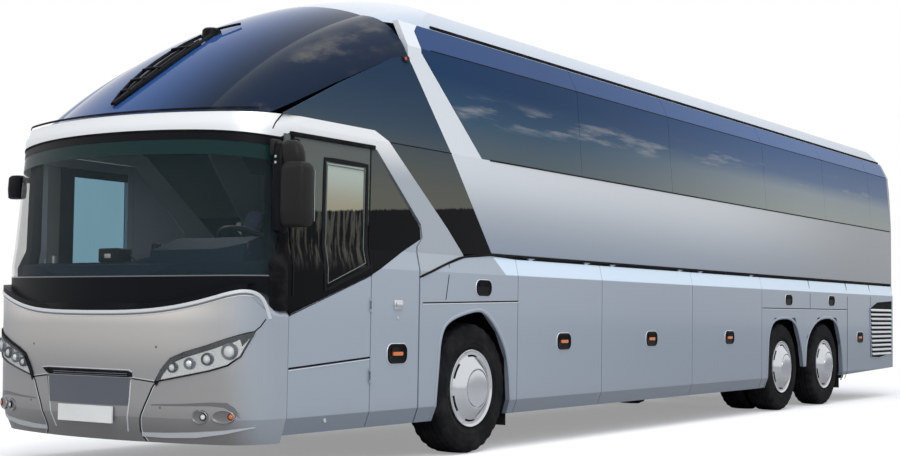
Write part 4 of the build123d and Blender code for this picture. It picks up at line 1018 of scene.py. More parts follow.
for side, label in SIDES:
    skin(f"headlamp_pocket_{label}", "coach", reflector, patch(fascia_point, LAMP_TOP, LAMP_LOW, side, 0.003),
        0.002)
    lid_top = [(x, z - 0.001) for x, z in LAMP_TOP]
    brow = [(x + 0.012, z - 0.030) for x, z in LAMP_TOP[:-1]] + [(1.215, 0.958)]
    skin(f"headlamp_brow_{label}", "coach", black_plastic, patch(fascia_point, lid_top, brow, side, 0.010, 3),
        0.006)
    edge = [fascia_point(side * x, z, 0.002)
        for x, z in line_points(list(LAMP_TOP) + list(reversed(LAMP_LOW))[1:-1], 0.03)]
    sweep(f"headlamp_edge_{label}", "coach", seal_rubber, edge, bead(0.012, 0.010),
        lambda p: p - Vector((0, at(0.0), p.z)), True)
    for n, (x, z, r) in enumerate(LAMP_BULBS):
        where = fascia_point(side * x, z, 0.003)
        normal = (surface_normal(fascia_point, side * x, z) + Vector((0.0, -0.8, 0.0))).normalized()
        ring = ((-0.004, r * 1.18), (0.014, r * 1.14), (0.022, r * 1.04), (0.022, r * 0.96),
            (0.014, r * 0.86), (0.006, r * 0.66), (0.004, r * 0.5))
        facing(f"headlamp_ring_{label}_{n + 1}", "coach", steel_dark if n in (0, 2) else grille_paint, where,
            normal, ring, 32, "dark_glass")
        glass = ((0.002, r * 0.88), (0.010, r * 0.80), (0.019, r * 0.58), (0.024, r * 0.30), (0.025, 0.0001))
        facing(f"headlamp_bulb_{label}_{n + 1}", "coach", white_lens if n != 1 else reflector, where, normal,
            glass, 32)
    tip = [(1.150, 0.945), (1.185, 0.955), (1.218, 0.963)], [(1.168, 0.870), (1.195, 0.915), (1.218, 0.960)]
    skin(f"headlamp_tip_{label}", "coach", black_plastic,
        patch(fascia_point, tip[0], tip[1], side, 0.012, 3, 8), 0.006)
    skin(f"headlamp_cover_{label}", "coach", lens_glass, patch(fascia_point, LAMP_TOP, LAMP_LOW, side, 0.030),
        0.002)
print("headlamp pieces", made("headlamp"))

# %% [markdown]
# ## Seams, grille and rims of the front panel
# The front panel is several mouldings: a hood, two cheeks and a middle piece that holds the grille and the
# number plate. Their joints are dark lines with a bright edge where the paint turns in, a painted highlight
# in the lighter silver, and a lip along the crease low down is a painted highlight too. The hood ends below
# the windscreen in a raised double rim, and the grille panel is a dark brushed plate under a black slot.

# %% Front panel trim


def nose_outward(point):
    """Direction out of the nose: away from the axle at the corners, mostly forward in the middle."""
    return point - Vector((0, at(0.2), point.z)) if abs(point.x) > 0.7 else Vector((point.x * 0.4, -1.0, 0.0))


def body_line(name, place, corners, width, lift, material, side=1, height=0.0015, rounds=0):
    """A thin line laid on a surface along corners given in its own two numbers."""
    run = curve_points(list(corners), 0.03, rounds) if rounds else line_points(list(corners), 0.03)
    path = [place(side * a, b, lift) for a, b in run]
    return sweep(name, "coach", material, path, strip(width, height), nose_outward)


for side, label in SIDES:
    cheek = ((0.600, 0.628), (0.570, 0.600), (0.545, 0.545), (0.492, 0.444), (0.462, 0.360), (0.452, 0.292),
        (0.484, 0.244))
    body_line(f"cheek_seam_{label}", fascia_point, cheek, 0.011, 0.0, seal_rubber, side, rounds=1)
    # Painted highlight: the cheek seam's turned edge in the lighter silver.
    body_line(f"cheek_edge_{label}", fascia_point, [(x + 0.011, z) for x, z in cheek], 0.006, 0.0, highlight_paint,
        side, 0.003, 1)
    body_line(f"hood_seam_{label}", fascia_point, ((0.412, 0.648), (0.600, 0.628)), 0.008, 0.0, seal_rubber,
        side)
    # Painted highlight along the hood seam's edge.
    body_line(f"hood_edge_{label}", fascia_point, ((0.412, 0.656), (0.590, 0.637)), 0.005, 0.0, highlight_paint,
        side, 0.003)
    body_line(f"brow_seam_{label}", screen_point, ((1.214, 2.416), (1.206, 2.360), (1.196, 2.296)), 0.008,
        0.008, seal_rubber, side)
    body_line(f"tip_seam_{label}", fascia_point, ((1.218, 0.966), (1.238, 1.000), (1.252, 1.046)), 0.009, 0.0,
        seal_rubber, side)
    lower = ((0.400, 0.640), (0.385, 0.460), (0.350, 0.300))
    # Painted highlight down the inner edge.
    body_line(f"inner_edge_{label}", fascia_point, lower, 0.010, 0.0, highlight_paint, side, 0.004, 1)
    # Painted highlight: a lighter lip along the crease low on the front.
    top = [(0.462, 0.296), (0.640, 0.300), (0.860, 0.312), (1.060, 0.330), (1.205, 0.352)]
    low = [(0.462, 0.272), (0.640, 0.268), (0.860, 0.277), (1.060, 0.308), (1.205, 0.348)]
    skin(f"lip_{label}", "coach", highlight_paint, patch(fascia_point, top, low, side, 0.007, 2), 0.008)
    for n, (x, z) in enumerate(((0.596, 0.858), (0.628, 0.466))):
        where, normal = fascia_point(side * x, z), surface_normal(fascia_point, side * x, z)
        facing(f"nose_plug_{label}_{n + 1}", "coach", silver_shade, where, normal,
            ((-0.002, 0.008), (0.002, 0.008), (0.003, 0.005), (0.002, 0.0001)), 16)

grille_top = [(-0.418, 0.650), (0.0, 0.652), (0.405, 0.650)]
grille_low = [(-0.386, 0.470), (0.0, 0.468), (0.372, 0.470)]
skin("grille_panel", "coach", grille_paint, patch(fascia_point, grille_top, grille_low, 1, 0.004, 4), 0.006)
slot_top = [(-0.472, 0.696), (-0.400, 0.700), (0.0, 0.700), (0.385, 0.697), (0.408, 0.684)]
slot_low = [(-0.462, 0.688), (-0.412, 0.656), (0.0, 0.658), (0.400, 0.655), (0.410, 0.660)]
skin("grille_slot", "coach", seal_rubber, patch(fascia_point, slot_top, slot_low, 1, 0.003, 2), 0.004)
# Painted highlight along the slot's top edge.
body_line("grille_slot_edge", fascia_point, [(x, z + 0.006) for x, z in slot_top], 0.006, 0.0, highlight_paint, 1,
    0.004)
for n, z in enumerate((0.665, 0.678)):
    body_line(f"grille_rib_{n + 1}", fascia_point, ((-0.34, z), (0.37, z)), 0.005, 0.003, grille_paint, 1,
        0.004)
print("front trim", made(("cheek", "hood", "lip", "grille", "tip", "inner")))

# %% [markdown]
# ## Fog lamps
# Two shallow oval scoops sit low in each cheek, and each has its little lamp at the outer end.
# The body skin behind them is solid, so nothing can be pushed in: each scoop is a turned dish,
# squashed to an oval and raised by its rim, which looks the same from the road.

# %% Fog lamps
SCOOPS = ((0.915, 0.414, 0.050, 0.038, white_lens, 0.022), (1.068, 0.420, 0.070, 0.039, orange_lens, 0.046))
for side, label in SIDES:
    shade_top = [(0.560, 0.486), (0.760, 0.494), (0.980, 0.510), (1.090, 0.510), (1.130, 0.480)]
    shade_low = [(0.560, 0.478), (0.760, 0.480), (0.980, 0.486), (1.080, 0.478), (1.180, 0.392)]
    # Painted shade: a strip of the darker silver above the scoops.
    skin(f"fog_shade_{label}", "coach", silver_shade, patch(fascia_point, shade_top, shade_low, side, 0.0012,
        2), 0.002)
    for n, (x, z, wide, high, glass, shift) in enumerate(SCOOPS):
        where, normal = fascia_point(side * x, z), surface_normal(fascia_point, side * x, z)
        dish = ((-0.002, wide * 1.10), (0.005, wide * 1.06), (0.006, wide), (0.0035, wide * 0.93),
            (0.0015, wide * 0.7), (0.001, 0.0001))
        # Painted shade: the dish is laid in the darker silver, as the hollow of a scoop would be in shade.
        facing(f"fog_scoop_{label}_{n + 1}", "coach", silver_shade, where, normal, dish, 40,
            squash=high / wide)
        rim = ((0.0, wide * 1.12), (0.006, wide * 1.10), (0.008, wide * 1.04), (0.006, wide * 0.99))
        facing(f"fog_rim_{label}_{n + 1}", "coach", hood_paint, where, normal, rim, 40, squash=high / wide)
        spot = fascia_point(side * (x + shift), z + 0.002)
        bulb = ((0.0, 0.018), (0.008, 0.017), (0.012, 0.013), (0.010, 0.010), (0.013, 0.006), (0.014, 0.0001))
        facing(f"fog_ring_{label}_{n + 1}", "coach", black_plastic, spot, normal,
            ((0.0, 0.023), (0.009, 0.022), (0.010, 0.018), (0.005, 0.016)), 24)
        facing(f"fog_lamp_{label}_{n + 1}", "coach", glass, spot, normal, bulb, 24, "dark_glass")
print("fog pieces", made("fog"))

# %% [markdown]
# ## Hood rim and black cowl
# Between the hood and the windscreen runs a black trough. The hood's edge is rolled into a double bead that
# follows its smile-shaped line and then climbs over each cheek; both beads are laid in the lighter silver as
# a painted highlight, with a strip of the darker silver between them as a painted shadow.

# %% Hood rim
SMILE = ((0.0, 1.094), (0.30, 1.096), (0.52, 1.106), (0.70, 1.126), (0.86, 1.156), (1.00, 1.192),
    (1.10, 1.222), (1.17, 1.238), (1.215, 1.232), (1.240, 1.205), (1.254, 1.150), (1.262, 1.060))
for side, label in SIDES:
    # Painted highlight on both beads, painted shadow in the strip between them.
    body_line(f"hood_rim_{label}", fascia_point, [(x, z - 0.012) for x, z in SMILE], 0.022, -0.001,
        highlight_paint, side, 0.009, 1)
    body_line(f"hood_bead_{label}", fascia_point, [(x, z - 0.040) for x, z in SMILE[:9]], 0.006, -0.001,
        highlight_paint, side, 0.004, 1)
    body_line(f"hood_shadow_{label}", fascia_point, [(x, z - 0.030) for x, z in SMILE[:9]], 0.010, -0.0004,
        silver_shade, side, 0.0012, 1)
print("rim follows", len(SMILE), "points")

# %% [markdown]
# ## Windscreen borders and posts
# The windscreen has a printed black border: a deep header whose lower edge sags like a smile, a
# band along the bottom, and a black strip where the glass meets the driver's window. They are
# thin skins laid a few millimetres proud of the glass, and the corner post is a bulged rubber
# moulding.

# %% Windscreen borders


def screen_band(name, high, low, material, lift=0.002, reach=1.262, across=3, slot=None):
    """A band round the windscreen between two heights that vary with the distance from the middle."""
    count = 48
    spots = [reach * math.sin(math.pi / 2 * (2 * k / count - 1)) for k in range(count + 1)]
    rows = []
    for i in range(across + 1):
        share = i / across
        rows.append([screen_point(x, high(abs(x)) * (1 - share) + low(abs(x)) * share, lift) for x in spots])
    return skin(name, "coach", material, rows, 0.002, slot)


def brow_height(x):
    """Lower edge of the silver brow over the windscreen."""
    return 2.293 - 0.012 * x * x - 0.030 * (x / 1.2) ** 6


def smile_height(x):
    """Height of the hood's edge at a distance from the middle."""
    for (a, za), (b, zb) in zip(SMILE, SMILE[1:9]):
        if x <= b:
            return za + (zb - za) * (x - a) / (b - a)
    return SMILE[8][1]


# The brow is laid in the band's silver, with its painted shade and highlight by height.
screen_band("brow", lambda x: 2.345,
    lambda x: brow_height(x) + 0.04 * max(0.0, min(1.0, (abs(x) - 1.22) / 0.02)), band_paint, 0.008, 1.266, 4)
screen_band("header_band", lambda x: brow_height(x) + 0.01, lambda x: brow_height(x) - 0.062, black_plastic,
    0.003)
screen_band("sun_band", lambda x: brow_height(x) - 0.060, lambda x: brow_height(x) - 0.160, sun_glass, 0.001,
    across=3)
screen_band("brow_lip", lambda x: brow_height(x) + 0.004, lambda x: brow_height(x) - 0.006, seal_rubber,
    0.009, 1.260, 1)
screen_band("cowl_band", lambda x: 1.315 + 0.01 * (x / 1.2) ** 2,
    lambda x: smile_height(x) + 0.030 - 0.6 * max(0.0, abs(x) - 1.13), black_plastic, 0.002, 1.236)
trough = [[], [], [], []]
for k in range(49):
    x = 1.19 * math.sin(math.pi / 2 * (k / 24 - 1))
    h = smile_height(abs(x))
    for row, spot in zip(trough, (screen_point(x, h + 0.052, 0.003), screen_point(x, h + 0.040, 0.003),
            fascia_point(x, h + 0.034, 0.002), fascia_point(x, h - 0.010, 0.002))):
        row.append(spot)
skin("cowl_trough", "coach", black_plastic, trough, 0.002)
screen_band("cowl_rim", lambda x: 1.322 + 0.01 * (x / 1.2) ** 2, lambda x: 1.314 + 0.01 * (x / 1.2) ** 2,
    silver_shade, 0.003, 1.234, 1, "black_plastic")
for side, label in SIDES:
    rows = []
    for x_in, lift in ((1.232, 0.001), (1.250, 0.010), (1.262, 0.012), (1.272, 0.008)):
        rows.append([screen_point(side * min(x_in, 1.275 - between(NOSE_SECTION, z)[1] - 0.004), z, lift)
            for z in (1.10, 1.25, 1.40, 1.545, 1.75, 1.95, 2.15, 2.278)])
    skin(f"corner_post_{label}", "coach", seal_rubber, turned_over(rows, side > 0), 0.004)
screen_band("dome_sill", lambda x: 2.440, lambda x: 2.424, seal_rubber, 0.006, 1.120, 1)

# %% [markdown]
# ## Window surrounds of the cab
# The glass beside the driver sits in black rubber. The pane ahead of the door has a sliding
# part with its own thin dark frame, which stays with the coach when the door opens.

# %% Cab window frames


def flank_line(name, corners, width, height, material, side=1, body="coach", rounds=0, closed=False):
    """A thin bead laid along corners given as (distance, height) on the flank."""
    corners = list(corners) + ([corners[0]] if closed else [])
    run = curve_points(corners, 0.10, rounds) if rounds else line_points(corners, 0.10)
    path = [side_point(d, z, 0.0, side) for d, z in (run[:-1] if closed else run)]
    return sweep(name, body, material, path, strip(width, height), outward, closed)


def flank_patch(name, outline, material, side, lift, body="coach", slot=None, edge=0.0):
    """A flat patch with an outline given as (distance, height), bent with the flank and given a soft edge."""
    middle = [sum(p[k] for p in outline) / len(outline) for k in (0, 1)]
    rings = []
    for shrink, rise in ((1.0, -0.003), (1.0, lift - edge), (1.0 - edge * 4, lift), (0.5, lift),
            (0.001, lift)):
        rings.append([side_point(middle[0] + (d - middle[0]) * shrink, middle[1] + (z - middle[1]) * shrink,
            rise, side) for d, z in outline])
    verts = [p for ring in rings for p in ring]
    faces = grid_faces(len(rings), len(outline), closed=True)
    return add_piece(name, body, material, verts, faces, slot, 30.0)


def rounded(d0, d1, z0, z1, radius, steps=5):
    """Outline of a rectangle with round corners."""
    found = []
    for cd, cz, start in ((d1 - radius, z1 - radius, 0), (d0 + radius, z1 - radius, 90),
            (d0 + radius, z0 + radius, 180), (d1 - radius, z0 + radius, 270)):
        for k in range(steps + 1):
            a = math.radians(start + 90.0 * k / steps)
            found.append((cd + radius * math.cos(a), cz + radius * math.sin(a)))
    return found


slide = ((-1.900, 1.245), (-1.895, 2.140), (-1.418, 2.135), (-1.418, 1.415))
inner = ((-1.872, 1.290), (-1.868, 2.105), (-1.446, 2.100), (-1.446, 1.443))
flank_line("slide_pane_frame", slide, 0.030, 0.006, black_plastic, closed=True)
flank_line("slide_pane_bead", inner, 0.005, 0.007, trim_grey, closed=True)
flank_line("slide_pane_rail", ((-2.235, 1.20), (-2.235, 2.262)), 0.016, 0.006, black_plastic)
flank_line("door_gutter", ((-2.262, 2.274), (-1.335, 2.274)), 0.030, 0.012, seal_rubber)
flank_line("window_divider", ((-1.378, 1.360), (-1.378, 2.262)), 0.012, 0.004, seal_rubber)
for side, label in SIDES:
    flank_line(f"glass_seam_high_{label}", ((-1.141, 2.332), (-0.344, 2.332)), 0.007, 0.0015, seal_rubber,
        side)
print("cab frames ready")

# %% [markdown]
# ## Handles along the flank
# Each luggage flap is pulled open by a black moulded pod with a small amber marker lamp in its
# middle.

# %% Handle pods
PODS = ((-1.055, 0.800, "driver_door", True), (1.405, 0.864, "body_luggage_flap_left_1", True),
    (3.135, 0.872, "body_luggage_flap_left_2", True), (5.050, 0.869, "body_luggage_flap_left_3", True),
    (9.475, 0.835, "coach", True), (6.825, 1.300, "coach", False), (8.338, 1.309, "coach", False),
    (0.100, 1.300, "coach", False))
RIGHT_BODIES = {"body_luggage_flap_left_1": "body_luggage_flap_right_1",
    "body_luggage_flap_left_2": "body_luggage_flap_right_2", "body_luggage_flap_left_3": "coach"}


def handle_pod(name, distance, z, body, lamp, side, wide, high):
    """A shallow black dish with a rolled rim in the lighter silver as a painted highlight, a grip inside and
    an amber lamp.
    """
    outline = rounded(-wide / 2, wide / 2, -high / 2, high / 2, 0.052, 6)
    rings = []
    for shrink, rise in ((1.06, -0.002), (1.05, 0.004), (1.0, 0.009), (0.93, 0.011), (0.86, 0.008),
            (0.80, 0.003), (0.4, 0.0025), (0.001, 0.0025)):
        rings.append([side_point(distance + d * shrink, z + h * shrink, rise, side) for d, h in outline])
    add_piece(f"pod_{name}", body, black_plastic, [p for r in rings for p in r],
        grid_faces(len(rings), len(outline), True))
    # The rim in the lighter silver is a painted highlight.
    rim = [side_point(distance + d * 1.07, z + h * 1.06, 0.0, side) for d, h in outline]
    sweep(f"pod_rim_{name}", body, highlight_paint, rim, bead(0.008, 0.005), outward, True)
    grip = rounded(-wide * 0.34, wide * 0.34, high * 0.10, high * 0.36, 0.018, 3)
    flank_patch(f"pod_grip_{name}", [(distance + d, z + h) for d, h in grip], seal_rubber, side, 0.008, body,
        edge=0.003)
    if lamp:
        amber = rounded(-wide * 0.26, wide * 0.26, -high * 0.10, high * 0.10, 0.008, 3)
        flank_patch(f"pod_lamp_{name}", [(distance + d, z + h) for d, h in amber], orange_lens, side, 0.012,
            body, edge=0.003)


for n, (distance, z, body, lamp) in enumerate(PODS):
    for side, label in SIDES:
        if side < 0 and n in (0, 3):
            continue
        on = body if side > 0 else RIGHT_BODIES.get(body, body)
        small = not lamp
        handle_pod(f"{label}_{n + 1}", distance, z, on, lamp, side, 0.215 if small else 0.232,
            0.122 if small else 0.137)
print("pods", made("pod_left"))

# %% [markdown]
# ## Gutters and seams
# A dark gutter divides the flaps from the wall above them, another keeps rain off the windows,
# and thin black seams mark every panel joint. All of them are one kind of bead, laid along runs
# given by distance and height, so each line of the list below is one seam of the coach.

# %% Gutters and seams
FLANK_RUNS = (              # name, run, width, height, roundings of its corners
    ("gutter_slope", ((-0.757, 1.372), (-0.413, 1.476), (-0.149, 1.544), (0.250, 1.572)), 0.016, 0.008, 1),
    ("pillar_seam", ((-0.435, 1.200), (-0.378, 1.472)), 0.007, 0.002, 0),
    ("roof_gutter", ((-0.420, ROOF_GUTTER_Z), (10.900, ROOF_GUTTER_Z)), 0.030, 0.012, 0),
    ("glass_joint", ((-0.560, GLASS_JOINT_Z), (10.900, GLASS_JOINT_Z)), 0.009, 0.002, 0),
    ("window_sill", ((0.210, WINDOW_SILL_Z), (10.900, WINDOW_SILL_Z)), 0.012, 0.004, 0))
UPRIGHT_SEAMS = (("twin_seam", 7.560, 1.202, 0.008), ("tail_seam_low", 8.963, 0.300, 0.009),
    ("tail_seam_mid", 9.930, 0.560, 0.008))
for side, label in SIDES:
    end = 10.93 if side > 0 else 5.02
    flank_line(f"gutter_{label}", ((0.250, GUTTER_Z), (end, GUTTER_Z)), 0.020, 0.010, seal_rubber, side)
    for name, run, width, height, rounds in FLANK_RUNS:
        flank_line(f"{name}_{label}", run, width, height, seal_rubber, side, rounds=rounds)
for label, run in (("front", ((-0.740, 1.172), (0.626, 1.202))), ("rear", ((6.000, 1.196), (8.945, 1.202)))):
    for side, word in SIDES:
        flank_line(f"arch_flap_seam_{label}_{word}", run, 0.010, 0.0015, seal_rubber, side)
        # Painted highlight: the flap's edge in the lighter silver.
        flank_line(f"arch_flap_edge_{label}_{word}", [(d, z - 0.010) for d, z in run], 0.006, 0.003,
            highlight_paint, side)
flank_line("service_flap_seam", ((-2.262, 0.722), (-1.384, 0.779)), 0.013, 0.0015, seal_rubber)
# Painted highlight along the service flap's edge.
flank_line("service_flap_edge", ((-2.262, 0.709), (-1.384, 0.766)), 0.006, 0.003, highlight_paint)
for side, label in SIDES:
    for name, d, low, width in UPRIGHT_SEAMS:
        flank_line(f"{name}_{label}", ((d, low), (d, FLAP_TOP_Z)), width, 0.0015, seal_rubber, side)
print("flank lines", len([o for o in bpy.data.objects if "seam" in o.name]))

# %% [markdown]
# ## Wheel arch lips
# The arch edges are folded outwards into a soft lip, which catches the light as a pale line.
# We follow the arch outline of the frame and sweep a rounded bead along it.

# %% Wheel arch lips
FRONT_ARCH = ((-0.570, 0.290), (-0.525, 0.700), (-0.500, 0.925), (-0.405, 1.045), (-0.060, 1.125),
    (0.134, 1.122), (0.355, 0.950), (0.500, 0.730), (0.545, 0.290))
DRIVE_ARCH = ((6.150, 0.290), (6.180, 0.700), (6.210, 0.920), (6.380, 1.085), (7.050, 1.088), (7.270, 0.760),
    (7.350, 0.500))
TAG_ARCH = ((7.400, 0.500), (7.450, 0.860), (7.850, 1.095), (8.530, 1.095), (8.740, 0.760), (8.820, 0.290))
LIP = [(-0.016, -0.004), (-0.014, 0.003), (-0.008, 0.006), (0.004, 0.006), (0.012, 0.003), (0.016, -0.004)]
for side, label in SIDES:
    for name, arch in (("front", FRONT_ARCH), ("drive", DRIVE_ARCH), ("tag", TAG_ARCH)):
        run = curve_points(list(arch), 0.04, 2)
        path = [side_point(d, z, 0.0, side) for d, z in run]
        sweep(f"arch_lip_{name}_{label}", "coach", paint, path, LIP, outward, False)
print("lips", made("arch_lip"))

# %% [markdown]
# ## Mirrors
# The left mirror hangs from an arm at the top corner: a rounded drum of a housing with a flared
# cap, and beside it the flat leaf that carries the close-view glass. We loft the housing from
# rounded rings, so that it bulges in the middle and tucks in at both ends.

# %% Mirrors


def ring_loft(name, material, cy, rings):
    """A closed shell through rounded rectangles.

    They share the middle's y; each is given as (z, centre x, half x, half y, roundness)."""
    verts, steps = [], 32
    for z, cx, hx, hy, power in rings:
        for k in range(steps):
            a = 2.0 * math.pi * k / steps
            c, s = math.cos(a), math.sin(a)
            verts.append(Vector((cx + hx * math.copysign(abs(c) ** (2.0 / power), c),
                cy + hy * math.copysign(abs(s) ** (2.0 / power), s), z)))
    faces = grid_faces(len(rings), steps, closed=True)
    faces += [tuple(range(steps)), tuple(range(len(verts) - 1, len(verts) - steps - 1, -1))]
    return add_piece(name, "coach", material, verts, faces, "black_plastic", 40.0)


MIRROR_X, MIRROR_Y = 1.435, at(-2.400)
SMALL_X, SMALL_Y = -1.340, at(-2.370)
ring_loft("mirror_housing_left", trim_black, MIRROR_Y,
    ((1.640, MIRROR_X, 0.075, 0.035, 3.0), (1.646, MIRROR_X, 0.092, 0.055, 3.4),
    (1.662, MIRROR_X, 0.102, 0.066, 3.8), (1.75, MIRROR_X, 0.1055, 0.072, 3.8),
    (1.90, MIRROR_X, 0.106, 0.074, 3.8), (2.01, MIRROR_X, 0.1045, 0.072, 3.8),
    (2.030, MIRROR_X, 0.102, 0.070, 3.6), (2.036, 1.433, 0.098, 0.064, 3.4),
    (2.040, 1.433, 0.098, 0.064, 3.4), (2.050, 1.431, 0.092, 0.060, 3.0), (2.062, 1.422, 0.076, 0.050, 2.6)))
ring_loft("mirror_cap_left", trim_black, MIRROR_Y,
    ((2.056, 1.410, 0.074, 0.046, 2.6), (2.075, 1.408, 0.078, 0.048, 2.8), (2.120, 1.400, 0.080, 0.052, 3.0),
    (2.165, 1.390, 0.076, 0.050, 2.8), (2.190, 1.382, 0.064, 0.042, 2.6), (2.204, 1.378, 0.044, 0.028, 2.4)))
ring_loft("mirror_leaf_left", black_plastic, MIRROR_Y,
    ((1.602, 1.300, 0.028, 0.024, 3.0), (1.620, 1.300, 0.040, 0.042, 3.0), (1.700, 1.300, 0.044, 0.048, 3.2),
    (1.900, 1.298, 0.046, 0.050, 3.2), (2.080, 1.298, 0.044, 0.048, 3.2), (2.155, 1.298, 0.038, 0.044, 3.0),
    (2.172, 1.298, 0.026, 0.030, 3.0)))
glass_rows = [[Vector((MIRROR_X + 0.085 * (i / 3 - 1), MIRROR_Y + 0.0745 + 0.002 * math.sin(math.pi * i / 6),
    1.845 + 0.165 * (1 - j / 3))) for i in range(7)] for j in range(7)]
skin("mirror_glass", "coach", mirror_silver, glass_rows, 0.003)
tube("mirror_arm_left", "coach", black_plastic,
    [(1.220, MIRROR_Y, 2.170), (1.300, MIRROR_Y, 2.172), (1.350, MIRROR_Y, 2.165), (1.400, MIRROR_Y, 2.130)],
    0.030)
block("mirror_foot_left", "coach", trim_black, (1.225, MIRROR_Y - 0.040, 2.110),
    (1.262, MIRROR_Y + 0.060, 2.220), 0.012, 2)
for n, z in enumerate((2.062, 2.100)):
    turned(f"mirror_screw_{n + 1}", "coach", steel, (1.292, MIRROR_Y - 0.046, z),
        ((0.0, 0.010), (-0.006, 0.009), (-0.008, 0.0001)), "y", 16)
ring_loft("mirror_housing_right", black_plastic, SMALL_Y,
    ((1.926, SMALL_X, 0.055, 0.034, 3.0), (1.934, SMALL_X, 0.068, 0.046, 3.4),
    (2.000, SMALL_X, 0.073, 0.049, 3.6), (2.085, SMALL_X, 0.068, 0.046, 3.4),
    (2.102, SMALL_X, 0.050, 0.034, 3.0)))
tube("mirror_arm_right", "coach", black_plastic,
    [(-1.190, SMALL_Y, 2.060), (-1.260, SMALL_Y, 2.066), (-1.310, SMALL_Y, 2.050)], 0.022)
for piece in [o for o in bpy.data.objects if o.name.startswith("mirror_housing")]:
    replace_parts(piece, "mirrors")
print("mirror pieces", made("mirror"))

# %% [markdown]
# ## Wiper on the dome
# The upper window has a wiper of its own: two thin arms side by side from one pivot, a bridge between them,
# and a rubber blade on a spring-steel spine. Everything follows the dome, whose height under each place is
# found with a ray.

# %% Dome wiper


def above(node, x, distance):
    """Height of a frame solid straight under a point, found with a ray."""
    hit, where, _, _ = frame["nodes"][node].ray_cast(Vector((x, at(distance), 6.0)), Vector((0.0, 0.0, -1.0)))
    return where.z if hit else None


OUT_OF_DOME = Vector((0.0, -0.55, 0.83))
WIPER_SPOTS = (-2.640, -2.540, -2.420, -2.290, -2.150, -2.010, -1.870, -1.740)
WIPER_BOW = (0.012, 0.050, 0.080, 0.098, 0.102, 0.098, 0.085, 0.055)


def dome_bar(name, spread, material, width, height, first, last, lift):
    """A bar along the dome, so many times as far sideways as the arms bow."""
    path = []
    for d, bow in list(zip(WIPER_SPOTS, WIPER_BOW))[first:last]:
        x = -0.015 + spread * bow
        path.append(Vector((x, at(d - 0.55 * lift), above("dome_screen", x, d) + 0.83 * lift)))
    return sweep(name, "coach", material, path, bead(width, height), lambda p: OUT_OF_DOME)


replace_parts(dome_bar("wiper_arm_1", -1.0, black_plastic, 0.024, 0.018, 0, 8, 0.012), "wipers")
dome_bar("wiper_arm_2", 1.0, black_plastic, 0.024, 0.018, 0, 8, 0.014)
dome_bar("wiper_blade", 0.62, seal_rubber, 0.022, 0.022, 0, 7, 0.004)
dome_bar("wiper_spine", 0.62, steel_dark, 0.012, 0.008, 0, 7, 0.026)
dome_bar("wiper_link", -0.10, black_plastic, 0.026, 0.018, 1, 7, 0.010)
for n, (k, a, b) in enumerate(((1, -0.060, 0.032), (2, -0.090, 0.060), (3, -0.108, 0.078),
        (5, -0.108, 0.078))):
    d, lift = WIPER_SPOTS[k], 0.034
    ends = [Vector((x, at(d), above("dome_screen", x, d) + rise))
        for x, rise in ((a, lift), ((a + b) / 2, lift + 0.008), (b, lift))]
    tube(f"wiper_bridge_{n + 1}", "coach", black_plastic, ends, 0.011)
top_z = above("dome_screen", -0.01, -1.700)
turned("wiper_pivot", "coach", black_plastic, (-0.010, at(-1.700), top_z),
    ((-0.03, 0.075), (0.035, 0.070), (0.050, 0.055), (0.056, 0.025), (0.056, 0.0001)), "z", 28)
tube("wiper_washer", "coach", black_plastic,
    [(0.02, at(-1.72), top_z + 0.03), (0.09, at(-1.62), top_z + 0.075), (0.13, at(-1.54), top_z + 0.10)],
    0.010)
print("wiper pieces", made("wiper"))

# %% [markdown]
# ## Louvres beside the engine
# Air for the radiator comes in through eleven pressed louvres on each rear corner. The frame is a rolled
# edge, the hollow behind is painted black as painted shade, and each blade is a tilted slat whose outer edge
# is turned down, laid in the lighter silver as a painted highlight.

# %% Side louvres
LOUVRE_TOP, LOUVRE_LOW = ((9.895, 1.235), (10.885, 1.345)), ((9.960, 0.560), (10.870, 0.600))
LOUVRES, LOUVRE_PITCH = 11, 0.0600


def louvre_edge(share, end):
    """Corner of the louvre frame: share goes from the top to the bottom."""
    (d0, z0), (d1, z1) = LOUVRE_TOP[end], LOUVRE_LOW[end]
    return d0 + (d1 - d0) * share, z0 + (z1 - z0) * share


for side, label in SIDES:
    outline = [louvre_edge(0, 0), (10.20, 1.320), louvre_edge(0, 1), louvre_edge(1, 1), (10.30, 0.545),
        louvre_edge(1, 0)]
    # Painted shade: a black patch for the hollow behind the blades.
    flank_patch(f"louvre_hollow_{label}", line_points(outline, 0.2), seal_rubber, side, 0.002)
    flank_line(f"louvre_frame_{label}", outline, 0.018, 0.010, paint, side, closed=True)
    for n in range(LOUVRES):
        z = 1.222 - n * LOUVRE_PITCH
        (d0, d1) = [louvre_edge((LOUVRE_TOP[e][1] - z) / (LOUVRE_TOP[e][1] - LOUVRE_LOW[e][1]), e)[0]
            for e in (0, 1)]
        rows = []
        for drop, rise in ((0.0, 0.001), (0.010, 0.010), (0.022, 0.018), (0.031, 0.017), (0.034, 0.011)):
            rows.append([side_point(d0 + 0.03 + (d1 - d0 - 0.06) * i / 8, z - drop, rise, side)
                for i in range(9)])
        # Painted highlight: the blades in the lighter silver.
        skin(f"louvre_{label}_{n + 1}", "coach", highlight_paint, turned_over(rows, side < 0), 0.003)
print("louvres", made("louvre_left_"))

# %% [markdown]
# ## Small fittings of the flank
# A chrome grab handle and lock on the driver's door, a lock on the lower flap and a marker lamp
# at the dome's edge.

